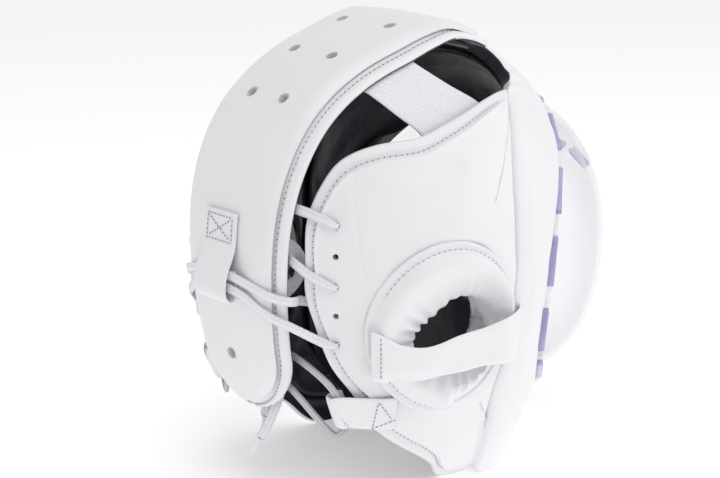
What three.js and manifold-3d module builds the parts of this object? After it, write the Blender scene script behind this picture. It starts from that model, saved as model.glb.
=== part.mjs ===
// Full-face bubble helmet: a padded leather head guard with a clear domed face shield.
// Millimetres, +Z up, face towards -Y, wearer's right towards -X.
import * as THREE from 'three';
import { mergeVertices } from 'three/addons/utils/BufferGeometryUtils.js';
import Module from 'manifold-3d';

const wasm = await Module();
wasm.setup();

// ---------------------------------------------------------------- driving dimensions

// The outer skin of the guard is a rounded head form about one centre.
const HEAD = {
  y: -15, z: 124, side: 92, back: 113, brow: 121, chin: 80, top: 113, bottom: 150, power: 2.2,
};
const GAP = 0.3; // clearance between pieces that lie on each other
const LEATHER = 3.5; // doubled leather with a thin pad: flanges and the strip's base
const PADDING = 7; // foam and leather of a side panel
const LINING = 3; // thin padded inner lining

// Crown strip, by the turn over the head: 90 is straight up, 180 is straight back.
const CROWN = { from: 79, to: 215, round: 202, steps: 16, endFlange: 5, swell: 5 };
const CROWN_ROWS = [
  { turn: 79, lift: 0, half: 41, flange: 7, droop: 0.5 },
  { turn: 84, lift: 3, half: 41, flange: 7, droop: 0.5 },
  { turn: 90, lift: 5.5, half: 40, flange: 7.5, droop: 1.5 },
  { turn: 98, lift: 3.5, half: 39.5, flange: 8, droop: 2.5 },
  { turn: 107, lift: 1, half: 39, flange: 8, droop: 3 },
  { turn: 118, lift: 1, half: 38, flange: 8, droop: 3 },
  { turn: 140, lift: 3, half: 36.5, flange: 7.5, droop: 3 },
  { turn: 175, lift: 1.5, half: 34.5, flange: 6.5, droop: 3 },
  { turn: 202, lift: 0, half: 30.5, flange: 7, droop: 3 },
  { turn: 215, lift: 0.5, half: 29, flange: 7, droop: 3 },
];
const crownRow = (turn, column) => readTable(CROWN_ROWS, 'turn', turn, column);
const VENT = { radius: 3.2, sides: 8 };
const VENT_ROWS = [
  { turn: 100.5, half: 19 },
  { turn: 118.5, half: 15 },
  { turn: 135, half: 13 },
  { turn: 202, half: 0 },
];

// Rear edge of the face frame: turn round the fore-and-aft axis from the crown, lean to the front.
const FRAME_ROWS = [
  { station: 0, turn: 0, lean: 17.8, rim: 0 },
  { station: 16, turn: 16, lean: 17.6, rim: 14 },
  { station: 31, turn: 31, lean: 17, rim: 29 },
  { station: 40, turn: 38, lean: 12.5, rim: 39 },
  { station: 60, turn: 59, lean: 5.2, rim: 55 },
  { station: 76, turn: 75, lean: 3, rim: 72 },
  { station: 92, turn: 90, lean: 2.5, rim: 86 },
  { station: 106, turn: 105, lean: 0.6, rim: 99 },
  { station: 119, turn: 119, lean: -1.7, rim: 112 },
  { station: 132, turn: 132, lean: -3.6, rim: 124 },
  { station: 148, turn: 151, lean: -1, rim: 138 },
  { station: 156, turn: 158, lean: 8, rim: 149 },
  { station: 168, turn: 168, lean: 18, rim: 165 },
  { station: 180, turn: 180, lean: 22, rim: 180 },
];
const FRAME = { steps: 36, seamGap: 0.3 };

// Rim of the shield, round the face axis from the brow.
const RIM = {
  z: 113.5, half: 88.5, rise: 89, drop: 87, brow: -98, side: -48, chin: -99, back: 31,
  bulge: 2, square: 2.6,
};
const SHIELD = {
  thickness: 3, flange: 12, forward: 7, apexY: -151, apexZ: 104, steps: 32, rows: 5, slots: 15,
  slotLength: 28, slotWidth: 4.2, slotInset: 5, ventLength: 17, ventWidth: 5, ventRise: 52, ventTurn: 27,
};

// Side panel: outer edge, round the ear from the upper front corner backwards and down.
const EAR = { phi: 115.5, z: 97.5, long: 40, high: 46.5, holeLong: 24, holeHigh: 21, holeBack: -8, holeUp: -6 };
const PANEL_ROWS = [
  { round: 0, phi: 77, z: 214, free: 0 },
  { round: 15, phi: 93, z: 209, free: 1 },
  { round: 32, phi: 111, z: 202, free: 1 },
  { round: 46, phi: 123, z: 196, free: 1 },
  { round: 62, phi: 138, z: 193, free: 1 },
  { round: 75, phi: 148, z: 186, free: 1 },
  { round: 88, phi: 153, z: 174, free: 1 },
  { round: 100, phi: 156, z: 157, free: 1 },
  { round: 115, phi: 156, z: 137, free: 1 },
  { round: 130, phi: 156, z: 119, free: 1 },
  { round: 145, phi: 153.5, z: 101, free: 1 },
  { round: 160, phi: 150, z: 80, free: 1 },
  { round: 175, phi: 144, z: 62, free: 1 },
  { round: 189, phi: 139, z: 43, free: 1 },
  { round: 204, phi: 131, z: 30, free: 1 },
  { round: 222, phi: 116, z: 13, free: 1 },
  { round: 233, phi: 108, z: 0.5, free: 1 },
  { round: 240, phi: 96, z: -3, free: 1 },
];
const PANEL = {
  steps: 32, seamFrom: 240, seamTop: 37.5, seamBottom: 150, flange: 9, raised: 2.5, holeMargin: 2.4,
  clock: 119, lined: 0.4,
};
const LACE_HOLES = { phi: 147.5, zTop: 154, pitch: 15.3, count: 5, radius: 2.3, sides: 6 };
const LACE = { width: 5.2, narrow: 3, thickness: 1.4 };

// Ear roll: height over the panel and depth into the ear, from its seam (0) to the hole (1).
const ROLL = { steps: 24, seam: 4 };
const ROLL_ROWS = [
  { across: 0, outer: 6.4, inner: 2.8 },
  { across: 0.2, outer: 8.2, inner: -0.5 },
  { across: 0.5, outer: 5.4, inner: -4 },
  { across: 1, outer: -3, inner: -6.5 },
];
const BRIDGE = { thickness: 2 };
const BRIDGE_ROWS = [
  { phi: 88, z: 89.5, half: 14.5, lift: 2.2 },
  { phi: 90.4, z: 89.5, half: 14, lift: 5.9 },
  { phi: 97, z: 89, half: 12.5, lift: 9 },
  { phi: 105, z: 88, half: 10.5, lift: 7.8 },
  { phi: 114, z: 86.5, half: 10, lift: 7.8 },
  { phi: 124, z: 83.5, half: 9.5, lift: 9 },
  { phi: 131, z: 85, half: 10.5, lift: 9.6 },
  { phi: 136, z: 88.5, half: 12.5, lift: 9.2 },
  { phi: 138.8, z: 90, half: 13, lift: 8 },
];
const ELASTIC = { thickness: 1.5, tuck: 6, stripFront: 104, stripRear: 123, panelFront: 12.5, panelRear: 45 };

// Loop tab on the strip: distance down its path from the top and height over the pad.
const LOOP = { width: 26, turn: 164.5, thickness: 1.6 };
const LOOP_ROWS = [
  { down: 0, high: 1.2 },
  { down: 15, high: 1.2 },
  { down: 22, high: 3.4 },
  { down: 30, high: 7.2 },
  { down: 38, high: 8.6 },
  { down: 42, high: 7.4 },
  { down: 43.4, high: 4.8 },
  { down: 42, high: 2.2 },
  { down: 38, high: 1.2 },
  { down: 28, high: 1.2 },
];
const NAPE_TAB = { width: 20, thickness: 2, bend: 3.3 };
const NAPE_CORD = { width: 3.8, thickness: 2.4, depth: 4.1 };
const TAIL = { width: 5, thickness: 1.4, aglet: 11, agletRadius: 1.5 };

// ---------------------------------------------------------------- small helpers

const rad = THREE.MathUtils.degToRad;
const clamp = THREE.MathUtils.clamp;
const smooth = THREE.MathUtils.smoothstep;
const mix = THREE.MathUtils.lerp;
const vec = (x, y, z) => new THREE.Vector3(x, y, z);
const power = (value, exponent) => Math.sign(value) * Math.abs(value) ** exponent;

// Reads one column of a table smoothly between its rows.
function readTable(rows, key, at, column) {
  const last = rows.length - 1;
  let i = 0;
  while (i < last - 1 && at > rows[i + 1][key]) i += 1;
  const slope = (k) => {
    const before = rows[Math.max(k - 1, 0)];
    const after = rows[Math.min(k + 1, last)];
    return (after[column] - before[column]) / (after[key] - before[key]);
  };
  const span = rows[i + 1][key] - rows[i][key];
  const s = clamp((at - rows[i][key]) / span, 0, 1);
  const enter = s * s * (3 - 2 * s);
  return (1 - enter) * rows[i][column] + enter * rows[i + 1][column]
    + s * (1 - s) ** 2 * span * slope(i) - s * s * (1 - s) * span * slope(i + 1);
}

// ---------------------------------------------------------------- head form

function reach(q) {
  const front = mix(HEAD.chin, HEAD.brow, smooth(q.z + HEAD.z, 48, 158));
  return vec(HEAD.side, q.y > 0 ? HEAD.back : front, q.z > 0 ? HEAD.top : HEAD.bottom);
}

// How far a point relative to the centre lies out, 1 being on the form.
function fullness(q) {
  const r = reach(q);
  const p = HEAD.power;
  return (Math.abs(q.x / r.x) ** p + Math.abs(q.y / r.y) ** p + Math.abs(q.z / r.z) ** p) ** (1 / p);
}

function headNormal(point) {
  const q = point.clone().sub(vec(0, HEAD.y, HEAD.z));
  const r = reach(q);
  const grow = (a, b) => power(a / b, HEAD.power - 1) / b;
  return vec(grow(q.x, r.x), grow(q.y, r.y), grow(q.z, r.z)).normalize();
}

// Point of the form in a direction from its centre, lifted along the normal.
function headPoint(direction, lift = 0) {
  const q = direction.clone().multiplyScalar(100);
  for (let i = 0; i < 6; i += 1) q.multiplyScalar(1 / fullness(q));
  const point = q.add(vec(0, HEAD.y, HEAD.z));
  return point.addScaledVector(headNormal(point), lift);
}

// Turn goes round the fore-and-aft axis from the crown to the right, lean towards the face.
function turned(turn, lean) {
  const t = rad(turn);
  const l = rad(lean);
  return vec(-Math.sin(t) * Math.cos(l), -Math.sin(l), Math.cos(t) * Math.cos(l));
}

// Point of the form by plan angle phi (0 front, 90 right side, 180 back) and height.
function sidePoint(phi, z, lift = 0) {
  const p = HEAD.power;
  const a = rad(phi);
  const dz = z - HEAD.z;
  const k = (1 - Math.min(Math.abs(dz) / (dz > 0 ? HEAD.top : HEAD.bottom), 0.999) ** p) ** (1 / p);
  const front = mix(HEAD.chin, HEAD.brow, smooth(z, 48, 158));
  const depth = phi > 90 ? HEAD.back : front;
  const out = k * (Math.abs(Math.sin(a) / HEAD.side) ** p
    + Math.abs(Math.cos(a) / depth) ** p) ** (-1 / p);
  const point = vec(-Math.sin(a) * out, HEAD.y - Math.cos(a) * out, z);
  return point.addScaledVector(headNormal(point), lift);
}

const sideChart = (point) => ({
  phi: THREE.MathUtils.radToDeg(Math.atan2(-point.x, HEAD.y - point.y)),
  z: point.z,
});

// ---------------------------------------------------------------- solids

// Closed body between two grids of points. A ring closes on itself along its first index, and
// a cap gives the two points where the last column of the outer and the inner grid ends.
function slab(outer, inner, { ring = false, cap = null } = {}) {
  const rows = outer.length;
  const columns = outer[0].length;
  const points = [...outer.flat(), ...inner.flat(), ...(cap ?? [])];
  const at = (side, i, j) => side * rows * columns + (i % rows) * columns + j;
  const index = [];
  const quad = (a, b, c, d) => index.push(a, b, c, a, c, d);
  const spans = ring ? rows : rows - 1;
  for (let i = 0; i < spans; i += 1) {
    for (let j = 0; j < columns - 1; j += 1) {
      quad(at(0, i, j), at(0, i + 1, j), at(0, i + 1, j + 1), at(0, i, j + 1));
      quad(at(1, i, j), at(1, i, j + 1), at(1, i + 1, j + 1), at(1, i + 1, j));
    }
    quad(at(0, i + 1, 0), at(0, i, 0), at(1, i, 0), at(1, i + 1, 0));
    const k = columns - 1;
    if (cap) {
      const pole = 2 * rows * columns;
      index.push(at(0, i, k), at(0, i + 1, k), pole, at(1, i + 1, k), at(1, i, k), pole + 1);
    } else {
      quad(at(0, i, k), at(0, i + 1, k), at(1, i + 1, k), at(1, i, k));
    }
  }
  if (!ring) {
    for (let j = 0; j < columns - 1; j += 1) {
      quad(at(0, 0, j), at(0, 0, j + 1), at(1, 0, j + 1), at(1, 0, j));
      const i = rows - 1;
      quad(at(0, i, j + 1), at(0, i, j), at(1, i, j), at(1, i, j + 1));
    }
  }
  return facingOut(points, index);
}

function facingOut(points, index) {
  let volume = 0;
  for (let i = 0; i < index.length; i += 3) {
    const [a, b, c] = [points[index[i]], points[index[i + 1]], points[index[i + 2]]];
    volume += a.dot(b.clone().cross(c));
  }
  if (volume < 0) index.reverse();
  const geometry = new THREE.BufferGeometry().setFromPoints(points);
  geometry.setIndex(index);
  return geometry;
}

function toSolid(geometry) {
  const plain = geometry.clone();
  plain.deleteAttribute('normal');
  plain.deleteAttribute('uv');
  const merged = mergeVertices(plain, 1e-4);
  return new wasm.Manifold(new wasm.Mesh({
    numProp: 3,
    vertProperties: new Float32Array(merged.attributes.position.array),
    triVerts: new Uint32Array(merged.index.array),
  }));
}

function toGeometry(solid) {
  const mesh = solid.getMesh();
  const geometry = new THREE.BufferGeometry();
  geometry.setAttribute('position', new THREE.BufferAttribute(new Float32Array(mesh.vertProperties), 3));
  geometry.setIndex(new THREE.BufferAttribute(new Uint32Array(mesh.triVerts), 1));
  return geometry;
}

function cut(geometry, tools) {
  let solid = toSolid(geometry);
  for (const tool of tools) solid = solid.subtract(toSolid(tool));
  return toGeometry(solid);
}

// A body with its length along `along` and its height along `out`, centred on a point.
function placed(geometry, centre, along, out) {
  const z = out.clone().normalize();
  const x = along.clone().addScaledVector(z, -along.dot(z)).normalize();
  const y = z.clone().cross(x);
  const turn = new THREE.Matrix4().makeBasis(x, y, z);
  return geometry.clone().applyMatrix4(turn).translate(centre.x, centre.y, centre.z);
}

function peg(centre, out, radius, length, sides) {
  const geometry = new THREE.CylinderGeometry(radius, radius, length, sides).rotateX(Math.PI / 2);
  return placed(geometry, centre, Math.abs(out.x) > 0.7 ? vec(0, 1, 0) : vec(1, 0, 0), out);
}

const underground = new THREE.BoxGeometry(600, 600, 200).translate(0, 0, -100);
const standing = (geometry) => cut(geometry, [underground]);

function mirrored(geometry) {
  const copy = geometry.clone().scale(-1, 1, 1);
  const index = copy.index.array.slice().reverse();
  copy.setIndex(new THREE.BufferAttribute(index, 1));
  return copy;
}

// Flat strap or lace along a smooth route of { point, out, width } stops.
function ribbon(stops, width, thickness, steps) {
  const curve = new THREE.CatmullRomCurve3(stops.map((stop) => stop.point), false, 'centripetal');
  const outer = [];
  const inner = [];
  for (let i = 0; i <= steps; i += 1) {
    const s = i / steps;
    const along = curve.getTangent(s);
    const k = Math.min(Math.floor(s * (stops.length - 1)), stops.length - 2);
    const late = s * (stops.length - 1) - k;
    const out = stops[k].out.clone().lerp(stops[k + 1].out, late);
    const wide = mix(stops[k].width ?? width, stops[k + 1].width ?? width, late);
    out.addScaledVector(along, -out.dot(along)).normalize();
    const across = along.clone().cross(out).multiplyScalar(wide / 2);
    const centre = curve.getPoint(s);
    const high = centre.clone().addScaledVector(out, thickness / 2);
    const low = centre.clone().addScaledVector(out, -thickness / 2);
    outer.push([high.clone().sub(across), high.clone().add(across)]);
    inner.push([low.clone().sub(across), low.clone().add(across)]);
  }
  return slab(outer, inner);
}

// ---------------------------------------------------------------- assembly

const helmet = new THREE.Group();
function add(name, geometry, color, roughness = 0.55, more = {}) {
  geometry.computeVertexNormals();
  const material = new THREE.MeshStandardMaterial({ color, roughness, metalness: 0, ...more });
  const mesh = new THREE.Mesh(geometry, material);
  mesh.name = name;
  helmet.add(mesh);
}
function addPair(name, geometry, color, roughness) {
  add(`${name}_right`, geometry, color, roughness);
  add(`${name}_left`, mirrored(geometry), color, roughness);
}
const WHITE = '#ededef';
const NAVY = '#20212b';
const LACE_WHITE = '#f2f0f6';

// ---------------------------------------------------------------- crown strip

// Point over the strip: turn along the head, s across it, lifted from the base's outer face.
function crownPoint(turn, s, lift) {
  const middle = headPoint(vec(0, -Math.cos(rad(turn)), Math.sin(rad(turn))));
  const out = headNormal(middle);
  const half = crownRow(turn, 'half');
  const over = Math.max(Math.abs(s) - half, 0) / crownRow(turn, 'flange');
  const within = Math.min(Math.abs(s) / half, 1);
  const sag = 1.5 * within ** 2 + crownRow(turn, 'droop') * over;
  const tilt = rad(Math.sign(s) * (5 * within + 4 * crownRow(turn, 'droop') * over));
  middle.addScaledVector(out, crownRow(turn, 'lift') - sag);
  middle.x = s;
  return middle.addScaledVector(out, lift * Math.cos(tilt)).add(vec(lift * Math.sin(tilt), 0, 0));
}

// Half width of a layer whose end rounds off between CROWN.round and `end`.
function crownHalf(turn, margin, end) {
  const late = clamp((turn - CROWN.round) / (end - CROWN.round), 0, 0.97);
  return (crownRow(turn, 'half') + margin(turn)) * Math.sqrt(1 - late * late);
}

// A layer of the strip: its columns across and the lifts of its two faces.
function crownLayer({ from, end, margin, columns }) {
  const turns = [];
  for (let i = 0; i <= CROWN.steps; i += 1) turns.push(mix(from, CROWN.round, i / CROWN.steps));
  for (const late of [0.35, 0.62, 0.82, 0.94, 1]) turns.push(mix(CROWN.round, end, late));
  const grid = (face) => turns.map((turn) => columns.map(
    (column) => crownPoint(turn, column.across * crownHalf(turn, margin, end), column[face]),
  ));
  return slab(grid('top'), grid('under'));
}

const spread = (acrosses, top, under) => acrosses.map((across, i) => ({
  across, top: top[i], under: under[i] ?? under[0],
}));
const crownPad = crownLayer({
  from: CROWN.from,
  end: CROWN.to,
  margin: () => 0,
  columns: spread(
    [-1, -0.86, -0.4, 0.4, 0.86, 1],
    [1.6, 4.1, CROWN.swell, CROWN.swell, 4.1, 1.6],
    [2 * GAP],
  ),
});
const crownBase = crownLayer({
  from: CROWN.from,
  end: CROWN.to + CROWN.endFlange / 2,
  margin: (turn) => crownRow(turn, 'flange'),
  columns: spread([-1, -0.8, -0.36, 0.36, 0.8, 1], [0, 0, 0, 0, 0, 0], [-LEATHER]),
});
const crownLining = crownLayer({
  from: CROWN.from + 2,
  end: CROWN.to - 2,
  margin: () => -3,
  columns: spread(
    [-1, -0.5, 0, 0.5, 1],
    [0, 0, 0, 0, 0].map(() => -LEATHER - 4 * GAP),
    [-LEATHER - 4 * GAP - LINING],
  ),
});

const vents = [];
for (const row of VENT_ROWS) {
  for (const side of row.half ? [-1, 1] : [0]) {
    const centre = crownPoint(row.turn, side * row.half, 0);
    const out = crownPoint(row.turn, side * row.half, 10).sub(centre).normalize();
    vents.push(peg(centre, out, VENT.radius, 20, VENT.sides));
  }
}
add('crown_pad', cut(crownPad, vents), WHITE);
add('crown_base', cut(crownBase, vents), WHITE);
add('crown_lining', crownLining, NAVY);

// ---------------------------------------------------------------- shield rim and face frame

function rimPoint(angle) {
  const s = Math.sin(rad(angle));
  const c = Math.cos(rad(angle));
  const exponent = 2 / (c > 0 ? RIM.bulge : RIM.square);
  const x = -RIM.half * power(s, exponent);
  const z = RIM.z + (c > 0 ? RIM.rise : RIM.drop) * power(c, exponent);
  const middle = c > 0 ? RIM.brow : RIM.chin;
  const side = RIM.side + RIM.back * Math.max(-c, 0);
  const y = side + (middle - side) * (1 - (x / RIM.half) ** 2) ** 0.8;
  return vec(x, y, z);
}

// Inner edge of the shield's flat flange.
function flangePoint(rim) {
  const forward = SHIELD.forward * (0.4 + 0.6 * (rim.x / RIM.half) ** 2);
  const inward = vec(-rim.x, 0, RIM.z - rim.z).setLength(Math.sqrt(SHIELD.flange ** 2 - forward ** 2));
  return rim.clone().add(inward).add(vec(0, -forward, 0));
}

function flangeNormal(angle) {
  const rim = rimPoint(angle);
  const along = rimPoint(angle + 0.5).sub(rimPoint(angle - 0.5));
  const out = along.cross(flangePoint(rim).sub(rim)).normalize();
  return out.y < 0 ? out : out.negate();
}

function bothSides(halfSteps, build) {
  const sections = [];
  for (let i = 0; i < 2 * halfSteps; i += 1) {
    const left = i > halfSteps;
    const section = build((left ? 2 * halfSteps - i : i) * 180 / halfSteps);
    if (left) for (const point of section) point.x *= -1;
    sections.push(section);
  }
  return sections;
}

// Skin of the face frame at a station: across is 0 at its rear edge and 1 at the rim.
function framePoint(station, across, lift) {
  const read = (column) => readTable(FRAME_ROWS, 'station', station, column);
  const centre = vec(0, HEAD.y, HEAD.z);
  const rim = rimPoint(read('rim'));
  const rear = turned(read('turn'), read('lean'));
  const direction = rear.lerp(rim.clone().sub(centre).normalize(), across).normalize();
  const brow = 5 * smooth(across, 0.05, 0.45) * (1 - smooth(station, 34, 62));
  const swell = 1.5 * smooth(across, 0, 0.15) * smooth(station, 40, 60);
  const point = headPoint(direction, lift + swell - brow);
  const sunk = rim.addScaledVector(flangeNormal(read('rim')), lift - 2);
  return point.lerp(sunk, smooth(across, 0.4, 1.05));
}

const FRAME_ACROSS = [0, 0.12, 0.4, 0.68, 0.9, 1];
const flangeSeat = SHIELD.thickness / 2 + 3 * GAP;
function frameEdge(station, inner) {
  const angle = readTable(FRAME_ROWS, 'station', station, 'rim');
  const rim = rimPoint(angle);
  const edge = inner ? flangePoint(rim) : rim;
  return edge.addScaledVector(flangeNormal(angle), -flangeSeat);
}
const frameDepth = (across) => -PADDING - 4 * across;
const frameOuter = bothSides(FRAME.steps / 2, (station) => [
  ...FRAME_ACROSS.slice(0, -1).map((across) => framePoint(station, across, 0)),
  frameEdge(station, false),
]);
const frameInner = bothSides(FRAME.steps / 2, (station) => [
  ...FRAME_ACROSS.slice(0, -1).map((across) => framePoint(station, across, frameDepth(across))),
  frameEdge(station, true),
]);
add('face_frame', standing(slab(frameOuter, frameInner, { ring: true })), WHITE);

const liningAcross = [0.12, 0.4, 0.68];
const faceLining = [3 * GAP, 3 * GAP + LINING].map((depth) => bothSides(
  FRAME.steps / 2,
  (station) => liningAcross.map((across) => framePoint(station, across, frameDepth(across) - depth)),
));
add('face_lining', standing(slab(faceLining[0], faceLining[1], { ring: true })), NAVY);

// ---------------------------------------------------------------- face shield

const rimCurve = new THREE.CatmullRomCurve3(
  bothSides(45, (angle) => [rimPoint(angle)]).flat(),
  true,
);
const apex = vec(0, SHIELD.apexY, SHIELD.apexZ);
function domePoint(rim, rise) {
  const edge = flangePoint(rim);
  const narrow = Math.cos(rad(rise));
  return vec(
    edge.x * narrow,
    mix(edge.y, apex.y, Math.sin(rad(rise))),
    mix(apex.z, edge.z, narrow),
  );
}
const shieldStations = [];
for (let i = 0; i < SHIELD.steps; i += 1) {
  const rim = rimCurve.getPointAt(i / SHIELD.steps);
  const section = [rim];
  for (let j = 0; j < SHIELD.rows; j += 1) section.push(domePoint(rim, 90 * j / SHIELD.rows));
  shieldStations.push(section);
}
function shieldSkin(lift) {
  return shieldStations.map((section, i) => section.map((point, j) => {
    const next = shieldStations[(i + 1) % SHIELD.steps][j];
    const before = shieldStations[(i + SHIELD.steps - 1) % SHIELD.steps][j];
    const inwards = (section[j + 1] ?? apex).clone().sub(section[Math.max(j - 1, 0)]);
    const out = next.clone().sub(before).cross(inwards).normalize();
    const face = out.dot(point.clone().sub(vec(0, 20, SHIELD.apexZ))) > 0 ? 1 : -1;
    return point.clone().addScaledVector(out, face * lift);
  }));
}
const halfSheet = SHIELD.thickness / 2;
const bubble = slab(shieldSkin(halfSheet), shieldSkin(-halfSheet), {
  ring: true,
  cap: [apex.clone().add(vec(0, -halfSheet, 0)), apex.clone().add(vec(0, halfSheet, 0))],
});
const slots = [];
const slotBox = new THREE.BoxGeometry(SHIELD.slotLength, SHIELD.slotWidth, 9);
for (let k = 0; k < SHIELD.slots; k += 1) {
  const at = (k + 0.5) / SHIELD.slots;
  const rim = rimCurve.getPointAt(at);
  const along = rimCurve.getTangentAt(at);
  const inward = flangePoint(rim).sub(rim);
  const centre = rim.clone().addScaledVector(inward, SHIELD.slotInset / SHIELD.flange);
  slots.push(placed(slotBox, centre, along, along.clone().cross(inward)));
}
const ventBox = new THREE.BoxGeometry(SHIELD.ventLength, SHIELD.ventWidth, 14);
for (const turn of [-SHIELD.ventTurn, 0, SHIELD.ventTurn]) {
  const at = (angle, rise) => domePoint(rimPoint(angle), rise);
  const along = at(turn + 3, SHIELD.ventRise).sub(at(turn - 3, SHIELD.ventRise));
  const upward = at(turn, SHIELD.ventRise - 4).sub(at(turn, SHIELD.ventRise + 4));
  slots.push(placed(ventBox, at(turn, SHIELD.ventRise), along, along.clone().cross(upward)));
}
add('face_shield', cut(bubble, slots), '#dfe0ee', 0.05, { transparent: true, opacity: 0.35 });

// ---------------------------------------------------------------- side panels

function earEdge(clock, long, high, back = 0, up = 0) {
  const perDegree = rad(1) * HEAD.side;
  return {
    phi: EAR.phi + (back + long * Math.cos(rad(clock))) / perDegree,
    z: EAR.z + up + high * Math.sin(rad(clock)),
  };
}

function panelEdge(round) {
  if (round <= PANEL.seamFrom) {
    return {
      phi: readTable(PANEL_ROWS, 'round', round, 'phi'),
      z: readTable(PANEL_ROWS, 'round', round, 'z'),
      free: readTable(PANEL_ROWS, 'round', round, 'free'),
    };
  }
  const turn = mix(PANEL.seamBottom, PANEL.seamTop, (round - PANEL.seamFrom) / (360 - PANEL.seamFrom));
  const point = headPoint(turned(turn, readTable(FRAME_ROWS, 'turn', turn, 'lean')));
  point.y += FRAME.seamGap + 0.3;
  return { ...sideChart(point), free: 0 };
}

// Point of the panel between the ear's edge (0) and its outer edge (1), or as a distance from it.
function panelPoint(round, across, lift, fromEdge = 0) {
  const inner = earEdge(PANEL.clock - round, EAR.long - PANEL.holeMargin, EAR.high - PANEL.holeMargin);
  const edge = panelEdge(round);
  const length = Math.hypot((edge.phi - inner.phi) * rad(1) * HEAD.side, edge.z - inner.z);
  const s = fromEdge ? 1 - fromEdge / length : across;
  return sidePoint(mix(inner.phi, edge.phi, s), mix(inner.z, edge.z, s), lift);
}

const rounds = [];
for (let i = 0; i < PANEL.steps; i += 1) rounds.push(360 * i / PANEL.steps);

const panelOuter = rounds.map((round) => {
  const { free } = panelEdge(round);
  return [
    panelPoint(round, 0, PANEL.raised),
    panelPoint(round, 0.5, PANEL.raised),
    panelPoint(round, 0, PANEL.raised, PANEL.flange + 1),
    panelPoint(round, 0, mix(PANEL.raised, 0, free), PANEL.flange - 1),
    panelPoint(round, 1, 0),
  ];
});
const panelInner = rounds.map((round) => {
  const { free } = panelEdge(round);
  return [
    panelPoint(round, 0, -PADDING),
    panelPoint(round, 0.5, -PADDING),
    panelPoint(round, 0, -PADDING, PANEL.flange + 1),
    panelPoint(round, 0, mix(-PADDING, -LEATHER, free), PANEL.flange - 1),
    panelPoint(round, 1, mix(-PADDING, -LEATHER, free)),
  ];
});
const laceHoles = [];
for (let k = 0; k < LACE_HOLES.count; k += 1) {
  const z = LACE_HOLES.zTop - k * LACE_HOLES.pitch;
  const centre = sidePoint(LACE_HOLES.phi, z);
  laceHoles.push({ centre, out: headNormal(centre), z });
}
const laceCuts = laceHoles.map((hole) => peg(hole.centre, hole.out, LACE_HOLES.radius, 26, LACE_HOLES.sides));
addPair('side_panel', standing(cut(slab(panelOuter, panelInner, { ring: true }), laceCuts)), WHITE);

const sideLining = [4 * GAP, 4 * GAP + LINING].map((depth) => rounds.map((round) => {
  const middle = panelPoint(round, 0.5, -PADDING - depth);
  const rim = panelPoint(round, 0, -PADDING - depth, PANEL.flange + 1);
  return [panelPoint(round, 0.03, -PADDING - depth), middle, middle.clone().lerp(rim, PANEL.lined)];
}));
addPair('side_lining', standing(slab(sideLining[0], sideLining[1], { ring: true })), NAVY);

// ---------------------------------------------------------------- ears

// Full height over the top, back and underside of the ear, low and flat towards the face.
function rollFullness(clock) {
  const turn = ((clock + 90) % 360 + 360) % 360 - 90;
  return mix(0.35, 1, smooth(turn, -95, -70) * (1 - smooth(turn, 150, 200)));
}
function rollPoint(clock, across, lift) {
  const edge = earEdge(clock, EAR.long, EAR.high);
  const hole = earEdge(clock, EAR.holeLong, EAR.holeHigh, EAR.holeBack, EAR.holeUp);
  const width = Math.hypot((edge.phi - hole.phi) * rad(1) * HEAD.side, edge.z - hole.z);
  const s = across < 0 ? 0 : mix(ROLL.seam / width, 1, across);
  return sidePoint(mix(edge.phi, hole.phi, s), mix(edge.z, hole.z, s), lift);
}
const onPanel = PANEL.raised + GAP;
function rollSection(clock, face) {
  const swell = (height) => (height > onPanel ? mix(onPanel + 0.8, height, rollFullness(clock)) : height);
  const rows = ROLL_ROWS.map((row) => rollPoint(
    clock, row.across, face === 'outer' ? swell(row.outer) : row.inner,
  ));
  return [rollPoint(clock, -1, face === 'outer' ? onPanel + 0.8 : onPanel), ...rows];
}
const clocks = [];
for (let i = 0; i < ROLL.steps; i += 1) clocks.push(360 * i / ROLL.steps);
const roll = ['outer', 'inner'].map((face) => clocks.map((clock) => rollSection(clock, face)));
addPair('ear_roll', slab(roll[0], roll[1], { ring: true }), WHITE);

const bridgeGrid = (lift) => BRIDGE_ROWS.map((row) => [-1, -0.4, 0.4, 1].map(
  (side) => sidePoint(row.phi, row.z + side * row.half, row.lift + lift),
));
addPair('ear_bridge', slab(bridgeGrid(BRIDGE.thickness), bridgeGrid(0)), WHITE);

// ---------------------------------------------------------------- elastic bands

function elasticGrid(lift) {
  const grid = [];
  for (let i = 0; i <= 4; i += 1) {
    const turn = mix(ELASTIC.stripFront, ELASTIC.stripRear, i / 4);
    const half = crownRow(turn, 'half') + crownRow(turn, 'flange');
    const round = mix(ELASTIC.panelFront, ELASTIC.panelRear, i / 4);
    const under = -LEATHER - 3 * GAP + lift;
    const stripIn = crownPoint(turn, -half + ELASTIC.tuck, under);
    const stripOut = crownPoint(turn, -half - 1, under);
    const panelOut = panelPoint(round, 0, under, -1.5);
    const panelIn = panelPoint(round, 0, under, ELASTIC.tuck);
    const middle = stripOut.clone().lerp(panelOut, 0.5);
    grid.push([stripIn, stripOut, middle, panelOut, panelIn]);
  }
  return grid;
}
addPair('elastic_band', slab(elasticGrid(0), elasticGrid(-ELASTIC.thickness)), '#f4f4f4', 0.8);

// ---------------------------------------------------------------- loop tab and laces

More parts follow.
